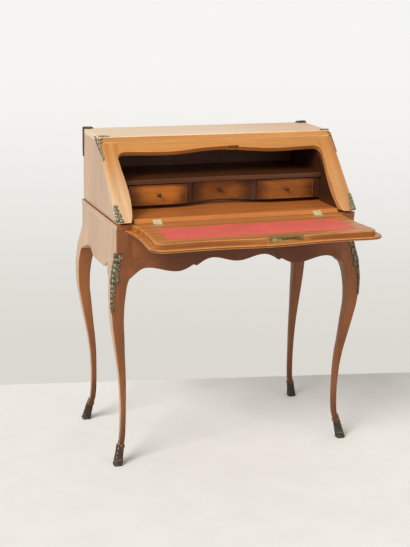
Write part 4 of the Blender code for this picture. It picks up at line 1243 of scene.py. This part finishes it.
class DESK_OT_legs(bpy.types.Operator):
    """Four cabriole legs and the aprons between them"""

    bl_idname = "desk.legs"
    bl_label = "Legs and aprons"
    RING_PITCH = 0.008      # most between two rings of a leg
    ARRIS_WEAR_AND_HIGHLIGHT = 0.7
    LEG_SHEEN = 0.92           # share of painted sheen on the outer sides
    SPREAD = 0.058          # length over which an apron swells out to a knee
    APRON_ROUND = 0.0014
    LEVELS = 5              # rows of points up an apron's face,
    LEVELS_FROM = 0.006     # which start this far above its shaped edge
    TOP_MARGIN = 0.01       # points lower than this below an apron's top are its shaped edge's
    END_MARGIN = 0.0005     # edges nearer a leg than this stay sharp

    def execute(self, context):
        for name in CORNERS:
            node = "leg_" + name
            shape = LegShape(name)
            bm = skinned([shape.ring(z) for z in shape.heights(self.RING_PITCH)])
            wear = bm.verts.layers.float.new("wear")
            sunned = bm.verts.layers.float.new("sunned")
            faces = [facing.x for _, facing in shape.section(shape.bottom)]
            for index, vertex in enumerate(bm.verts):
                place = index % len(faces)
                # outer arris paler: wear and painted highlight
                vertex[wear] = self.ARRIS_WEAR_AND_HIGHLIGHT if place == 0 else 0.0
                # the outer side takes painted sheen
                vertex[sunned] = self.LEG_SHEEN if faces[place] > 0.8 else 0.0
            settle(bm, node + "_carved", leg_wood(), [node])

        self.apron("front", apron_wood(), "front_left", 0, 1, -1)
        for side, sign in SIDES:
            self.apron(side, side_wood(), "front_" + side, 1, 0, sign)
        return {"FINISHED"}

    def apron(self, side, material, leg, along, out, sign):
        """Board between two like legs, with a face that swells out to their knees.

        The axis the board runs along and the one its face looks out on are given by number.
        """
        node = "apron_" + side
        shape = LegShape(leg)
        bm = cad_copy(node)
        low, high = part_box(node)
        flat = high[out] if sign > 0 else low[out]

        def inward(place):
            """Distance from the nearer leg."""
            return min(place[along] - low[along], high[along] - place[along])

        corners = [v.co.copy() for v in bm.verts]
        by_legs = {round(co[along], 5) for co in corners if 0 < inward(co) < self.SPREAD}
        for place in sorted(by_legs):
            slit(bm, along, place)
        shaped = [co.z for co in corners if co.z < high.z - self.TOP_MARGIN]
        start = max(shaped) + self.LEVELS_FROM
        for i in range(self.LEVELS):
            slit(bm, 2, start + (high.z - start) * i / self.LEVELS)
        for vertex in bm.verts:
            if abs(vertex.co[out] - flat) < SAME:
                near = max(1 - inward(vertex.co) / self.SPREAD, 0)
                knee = shape.row(vertex.co.z)[1 - along] - abs(flat)
                vertex.co[out] += sign * max(knee, 0) * near * near * (3 - 2 * near)
        round_over(bm, self.APRON_ROUND, wanted=lambda edge: any(
            inward(v.co) > self.END_MARGIN for v in edge.verts))
        even_shading(settle(bm, node + "_finished", material, [node]))


class DESK_OT_sabots(bpy.types.Operator):
    """Bronze shoes on the four feet"""

    bl_idname = "desk.sabots"
    bl_label = "Sabots"
    ROUND, UP = 60, 30      # points of the casting round the foot and up it
    LOBES = 4
    BULGE, BULGE_WIDE = 0.005, 0.006        # height of the bulge above the sole, and its width
    COLLAR, COLLAR_WIDE = 0.018, 0.0030
    RIM_WIDE = 0.0035
    SOLE_THICK, SOLE_PROUD = 0.0022, 0.001

    def execute(self, context):
        for name in CORNERS:
            node = "sabot_" + name
            shape = LegShape(name)
            sole, tall = (corner.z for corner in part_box(node))

            def reach(u):
                """Height of the rim: a leaf's tip on the outer arris, and low lobes beside it."""
                lobe = 0.5 + 0.5 * math.cos(math.tau * self.LOBES * u)
                return tall * (0.66 + 0.10 * lobe + 0.24 * bell(u, 0.16))

            def place(u, t, lift):
                return shape.skin(sole + (reach(u) - sole) * t, u, lift)

            def height(u, t):
                z = reach(u) * t
                foot = bell(z - self.BULGE, self.BULGE_WIDE)
                collar = bell(z - self.COLLAR, self.COLLAR_WIDE)
                rim = bell((1 - t) * reach(u), self.RIM_WIDE)
                veins = (0.5 + 0.5 * math.cos(math.tau * (6 * t - 3.5 * abs(u)))) ** 2
                rib = bell(u, 0.04) * t
                return min(0.08 + 0.35 * foot + 0.35 * collar + 0.75 * rim
                           + 0.60 * veins * bell(u, 0.45) * min(t * 3, 1) + 0.6 * rib, 1.0)

            bm = leaf_sheet(self.ROUND, self.UP, place, height, closed=True)
            join(bm, skinned([shape.ring(z, self.SOLE_PROUD) for z in (sole, sole + self.SOLE_THICK)]))
            settle(bm, node + "_cast", dark_bronze(), [node])
        return {"FINISHED"}


class DESK_OT_knee_mounts(bpy.types.Operator):
    """Leaf drops on the knees of the front legs"""

    bl_idname = "desk.knee_mounts"
    bl_label = "Knee mounts"
    ACROSS, DOWN = 48, 200  # points of the casting
    BROAD = 0.0205          # half-width down to the bulge of the knee
    KNEE, TAIL = 0.46, 0.56     # shares of the way down where the bulge ends and the tail starts
    NARROWING = 0.0115      # from the bulge to the tail
    TAPER = 0.008           # of the tail, for the whole way down

    def execute(self, context):
        for side, _ in SIDES:
            node = "knee_mount_" + side
            low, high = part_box(node)
            shape = LegShape("front_" + side)
            tall = high.z - low.z

            def arm(t):
                """Half-width: broad down to the bulge of the knee, then a slender tail."""
                narrowed = min(max(t - self.KNEE, 0.0) / (self.TAIL - self.KNEE), 1.0)
                return self.BROAD - self.NARROWING * narrowed - self.TAPER * max(t - self.TAIL, 0.0)

            def place(u, t, lift):
                return shape.skin(high.z - tall * t, 0.0, lift, u * arm(t))

            relief = drop(arm, tall, pairs=10, seed=3)
            bm = leaf_sheet(self.ACROSS, self.DOWN, place, relief, pierced=True)
            settle(bm, node + "_cast", knee_bronze(), [node])
        return {"FINISHED"}


class DESK_OT_stile_mounts(bpy.types.Operator):
    """Scroll mounts at the feet of the slanted stiles"""

    bl_idname = "desk.stile_mounts"
    bl_label = "Stile mounts"
    ACROSS, UP = 48, 90     # points of the casting
    TIP, WIDENING = 0.008, 0.012    # half-width at the tip, and how much more at the foot
    SHORTER = 0.004         # than its solid, along the slope
    CUT = 0.0012            # left free above the case floor

    def execute(self, context):
        for side, sign in SIDES:
            node = "stile_mount_" + side
            low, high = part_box(node)
            tall = (high.z - low.z) / UP_SLOPE.z - self.SHORTER

            def arm(t):
                return self.TIP + self.WIDENING * (1 - t) ** 1.4

            def place(u, t, lift):
                p, q = over_arris(u * arm(t), lift, ARRIS)
                corner = FOOT + Vector((sign * (HALF + p), 0, 0))
                return corner + UP_SLOPE * (AIR + tall * t) + OUT_SLOPE * q

            def height(u, t):
                """Nothing below the stile's foot, where the case floor is."""
                return relief(u, t) if place(u, t, 0.0).z > FOOT.z + self.CUT else 0.0

            relief = drop(arm, tall, pairs=4, seed=5)
            bm = leaf_sheet(self.ACROSS, self.UP, place, height, pierced=True)
            settle(bm, node + "_cast", corner_bronze(), [node])
        return {"FINISHED"}


class DESK_OT_top_mounts(bpy.types.Operator):
    """Leaf brackets on the four top corners"""

    bl_idname = "desk.top_mounts"
    bl_label = "Top mounts"
    SPRAY_ACROSS, SPRAY_DOWN = 112, 130     # points of the front casting
    SPRAY_TALL = 0.083      # down the slanted arris
    SPRAY_LAP = 0.011       # on the front
    SPRAY_REACH = 0.054     # back on the side
    SPRAY_FROM = 0.002      # below the top of the arris
    STRIP_ACROSS, STRIP_DOWN = 16, 40       # points of the rear casting
    STRIP_HALF = 0.0135     # its half-width at its head
    STRIP_OVER = 0.005      # it stands above the top board
    SHELL_ROUND, SHELL_OUT = 40, 20         # points of a shell
    FRONT_RISE, REAR_RISE = 1.3, 2.2        # heights of the shells, as shares of leaf_relief
    LONG_RIB, SHORT_RIB = 0.032, 0.016      # a shell's ribs by the edge and by the side
    SHELL_HEART = 0.0005    # radius of the point that its ribs run from
    SHELL_PAST_SIDE, SHELL_PAST_EDGE = 0.0006, 0.0004

    def execute(self, context):
        for side, sign in SIDES:
            self.front(side, sign)
            self.rear(side, sign)
        return {"FINISHED"}

    def front(self, side, sign):
        """Open spray over the slanted corner, broad on the side, and a shell on the top board."""
        node = "top_mount_front_" + side
        bend = ARRIS * math.pi / 4
        relief = spray(seed=7)

        def around(u):
            """Distance round from the arris, backward on the side and negative on the front."""
            return (u + 1) / 2 * (self.SPRAY_REACH + self.SPRAY_LAP) - self.SPRAY_LAP

        def place(u, t, lift):
            p, q = over_arris(min(around(u), bend), lift, ARRIS)
            corner = FOOT + Vector((sign * (HALF + p), max(around(u) - bend, 0), 0))
            up = SLOPE_LENGTH - self.SPRAY_FROM - self.SPRAY_TALL * t
            return corner + UP_SLOPE * up + OUT_SLOPE * q

        def height(u, t):
            return relief(around(u), t * self.SPRAY_TALL)

        bm = leaf_sheet(self.SPRAY_ACROSS, self.SPRAY_DOWN, place, height, pierced=True)
        settle(bm, node + "_cast", corner_bronze(), [node])
        self.shell(node + "_shell", sign, TOP_FRONT, 1, self.FRONT_RISE, corner_bronze())

    def rear(self, side, sign):
        """Plain rounded strip down the back corner and a shell on the top board."""
        node = "top_mount_back_" + side
        foot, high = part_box(node)[0].z, TOP + self.STRIP_OVER

        def place(u, t, lift):
            p, q = over_arris(u * self.STRIP_HALF * (1 - 0.35 * t), lift, ARRIS)
            return Vector((sign * (HALF + p), BACK + q, high + (foot - high) * t))

        def height(u, t):
            return math.sqrt(max(1 - u * u, 0.0)) * (1 - 0.4 * t ** 4)

        bm = leaf_sheet(self.STRIP_ACROSS, self.STRIP_DOWN, place, height)
        settle(bm, node + "_cast", dark_bronze(), [node])
        self.shell(node + "_shell", sign, BACK, -1, self.REAR_RISE, dark_bronze())

    def shell(self, name, sign, edge, inward, rise, material):
        """Fan of ribs on the top board, long beside the edge and short beside the side.

        inward is 1 or -1, the way along Y from the edge onto the board.
        """
        def place(u, t, lift):
            turn = math.pi / 2 * (u + 1) / 2
            reach = self.LONG_RIB * math.cos(turn) ** 2 + self.SHORT_RIB * math.sin(turn) ** 2
            reach *= 0.84 + 0.16 * abs(math.cos(math.tau * 1.25 * (u + 1)))
            out = self.SHELL_HEART + reach * t
            x = HALF - math.cos(turn) * out + self.SHELL_PAST_SIDE
            y = edge + inward * (math.sin(turn) * out - self.SHELL_PAST_EDGE)
            return Vector((sign * x, y, TOP + lift))

        def height(u, t):
            ribs = 0.5 + 0.5 * math.cos(math.tau * 2.5 * (u + 1))
            edge_fall = 1 - t ** 6
            return edge_fall * (0.30 + 0.55 * ribs * (0.4 + 0.6 * t)) + 0.25 * bell(t, 0.2)

        bm = leaf_sheet(self.SHELL_ROUND, self.SHELL_OUT, place, height, rise)
        settle(bm, name, material, [], body="case", slot="bronze")


class DESK_OT_hinges(bpy.types.Operator):
    """Brass hinge leaves, their pins and the screws on the lid"""

    bl_idname = "desk.hinges"
    bl_label = "Hinges"
    SCREW_IN = 0.0085       # from the leaf's free edge
    SCREWS = ((-0.30, -0.01), (0.30, 1.01))     # share of the leaf from its middle, slot's turn

    def execute(self, context):
        for side, _ in SIDES:
            for part in ("lid", "floor"):
                node = f"hinge_leaf_{part}_{side}"
                # hinge leaves in a pale brass that paints their highlight
                settle(cad_copy(node), node + "_worn", brass("hinge_brass", colours().hinge), [node])
            dress("hinge_pin_" + side, steel())
            self.screws(side)
        return {"FINISHED"}

    def screws(self, side):
        """Two screws through the leaf on the lid."""
        low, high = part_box("hinge_leaf_lid_" + side)
        middle = (low.x + high.x) / 2
        bm = bmesh.new()
        for share, turn in self.SCREWS:
            x = middle + share * (high.x - low.x)
            place = Matrix.Translation((x, low.y + self.SCREW_IN, WRITING_TOP + SCREW_PROUD))
            screw_head(bm, place, sizes().screw_radius, turn)
        settle(bm, "hinge_screws_lid_" + side, steel(), [], body="lid", slot="steel")


class DESK_OT_lock(bpy.types.Operator):
    """Lock with its plate, bolt, key, escutcheon and strike"""

    bl_idname = "desk.lock"
    bl_label = "Lock and key"
    SCREW_INSET = 0.007     # from the plate's ends
    SCREW_IN = 0.010        # from its front edge
    SCREW_TURN = 0.6        # of the slots

    def execute(self, context):
        plate = brass("lock_brass", dimmed(colours().brass, 0.9))
        for node, material in (("lock", plate), ("escutcheon", plate), ("strike_plate", plate),
                               ("key", brass("key_brass", dimmed(colours().brass, 0.3))),
                               ("lock_bolt", steel("bolt_steel", 0.6))):
            even_shading(settle(cad_copy(node), node + "_worn", material, [node]))
        low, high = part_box("lock")
        bm = bmesh.new()
        for x in (low.x + self.SCREW_INSET, high.x - self.SCREW_INSET):
            place = Matrix.Translation((x, low.y + self.SCREW_IN, WRITING_TOP + SCREW_PROUD))
            screw_head(bm, place, sizes().screw_radius, self.SCREW_TURN)
        settle(bm, "lock_screws", steel(), [], body="lid", slot="steel")
        return {"FINISHED"}


class DESK_OT_stage(bpy.types.Operator):
    """Floor, lamps, background and the camera"""

    bl_idname = "desk.stage"
    bl_label = "Stage"

    def execute(self, context):
        self.floor()
        self.lamps()
        self.sky()
        self.camera()
        context.scene.view_settings.view_transform = "Standard"
        return {"FINISHED"}

    def floor(self):
        """Pale floor that takes the shadow and ends behind the desk."""
        shade = Shade("pale_floor")
        mottle = shade.step(shade.cloud(shade.spot, 6.0, 5.0, 0.62), 0.30, 0.70)
        stains = shade.step(shade.cloud(shade.spot, 16.0, 4.0, 0.7), 0.66, 0.76)
        tint = shade.mix(mottle, dimmed(colours().floor, 0.955), colours().floor)
        tint = shade.mix(stains * 0.5, tint, dimmed(colours().floor, 0.74))
        bm = bmesh.new()
        bmesh.ops.create_grid(bm, x_segments=1, y_segments=1, size=FLOOR_HALF)
        place = Matrix.Translation((0, FLOOR_END, 0)) @ Matrix.Rotation(FLOOR_TURN, 4, "Z")
        bmesh.ops.transform(bm, verts=bm.verts,
                            matrix=place @ Matrix.Translation((0, -FLOOR_HALF, 0)))
        mesh = bpy.data.meshes.new("stage_floor")
        bm.to_mesh(mesh)
        bm.free()
        mesh.materials.append(shade.paint(Base_Color=tint, Roughness=0.85))
        prop = bpy.data.objects.new("stage_floor", mesh)
        bpy.context.scene.collection.objects.link(prop)

    def lamps(self):
        """A broad far light high at the left, like a big window, and a weak lamp in front."""
        window = bpy.data.lights.new("window", "SUN")
        window.angle = WINDOW_SPREAD
        window.energy = WINDOW_STRENGTH
        fill = bpy.data.lights.new("front_fill", "AREA")
        fill.shape = "DISK"
        fill.size = FILL_WIDTH
        fill.energy = FILL_POWER
        for lamp, place, aim in ((window, WINDOW_PLACE, WINDOW_AIM), (fill, FILL_PLACE, FILL_AIM)):
            holder = bpy.data.objects.new(lamp.name, lamp)
            bpy.context.scene.collection.objects.link(holder)
            holder.location = place
            holder.rotation_euler = (Vector(aim) - Vector(place)).to_track_quat("-Z", "Y").to_euler()

    def sky(self):
        """Even light from all round, and a pale background where the camera looks past the floor,
        darker low down as painted shade.
        """
        world = bpy.data.worlds.new("studio_sky")
        shade = Shade("studio_sky", world)
        height = shade.step(shade.axis("Z"), SKY_LOW, SKY_HIGH)
        pale = shade.mix(height, colours().sky_low, colours().sky_high)
        seen, mirrored, through = (shade.node("ShaderNodeLightPath", output=ray) for ray in (
            "Is Camera Ray", "Is Glossy Ray", "Is Transmission Ray"))
        light = shade.node("ShaderNodeBackground",
                           inputs={"Color": SKY_LIGHT, "Strength": SKY_STRENGTH})
        back = shade.node("ShaderNodeBackground", inputs={"Color": pale, "Strength": 1.0})
        both = shade.node("ShaderNodeMixShader", inputs={
            0: seen + mirrored + through, 1: light, 2: back})
        shade.feed(shade.tree.nodes["World Output"].inputs["Surface"], both)
        bpy.context.scene.world = world

    def camera(self):
        """Camera fitted to the photograph."""
        turn, dip, roll = CAMERA_TURN, CAMERA_DIP, CAMERA_ROLL
        back = Vector((math.sin(turn) * math.cos(dip), -math.cos(turn) * math.cos(dip),
                       math.sin(dip)))
        right = Vector((math.cos(turn), math.sin(turn), 0.0))
        up = back.cross(right)
        level = Matrix((right, up, back)).transposed()
        camera = bpy.data.cameras.new("photo_camera")
        camera.lens = CAMERA_LENS
        camera.sensor_width = CAMERA_SENSOR
        camera.sensor_fit = "HORIZONTAL"
        holder = bpy.data.objects.new("photo_camera", camera)
        bpy.context.scene.collection.objects.link(holder)
        holder.matrix_world = Matrix.Translation(CAMERA_PLACE) @ (
            level @ Matrix.Rotation(roll, 3, "Z")).to_4x4()
        bpy.context.scene.camera = holder


OPERATORS = (DESK_OT_case, DESK_OT_floors, DESK_OT_drawers, DESK_OT_lid, DESK_OT_legs,
             DESK_OT_sabots, DESK_OT_knee_mounts, DESK_OT_stile_mounts, DESK_OT_top_mounts,
             DESK_OT_hinges, DESK_OT_lock, DESK_OT_stage)


class DESK_PT_panel(bpy.types.Panel):
    """Lists the pieces, sizes and colours of the desk"""

    bl_idname = "DESK_PT_panel"
    bl_label = "Slant-front desk"
    bl_space_type = "VIEW_3D"
    bl_region_type = "UI"
    bl_category = "Desk"

    def draw(self, context):
        column = self.layout.column()
        for operator in OPERATORS:
            column.operator(operator.bl_idname)
        for group in (context.scene.desk_sizes, context.scene.desk_colours):
            for name in group.__annotations__:
                column.prop(group, name)


CLASSES = (DeskSizes, DeskColours, *OPERATORS, DESK_PT_panel)


def register():
    for item in CLASSES:
        bpy.utils.register_class(item)
    bpy.types.Scene.desk_sizes = PointerProperty(type=DeskSizes)
    bpy.types.Scene.desk_colours = PointerProperty(type=DeskColours)


def unregister():
    del bpy.types.Scene.desk_colours
    del bpy.types.Scene.desk_sizes
    for item in reversed(CLASSES):
        bpy.utils.unregister_class(item)


def main():
    register()
    for operator in OPERATORS:
        group, name = operator.bl_idname.split(".")
        getattr(getattr(bpy.ops, group), name)()


if __name__ == "__main__":
    main()
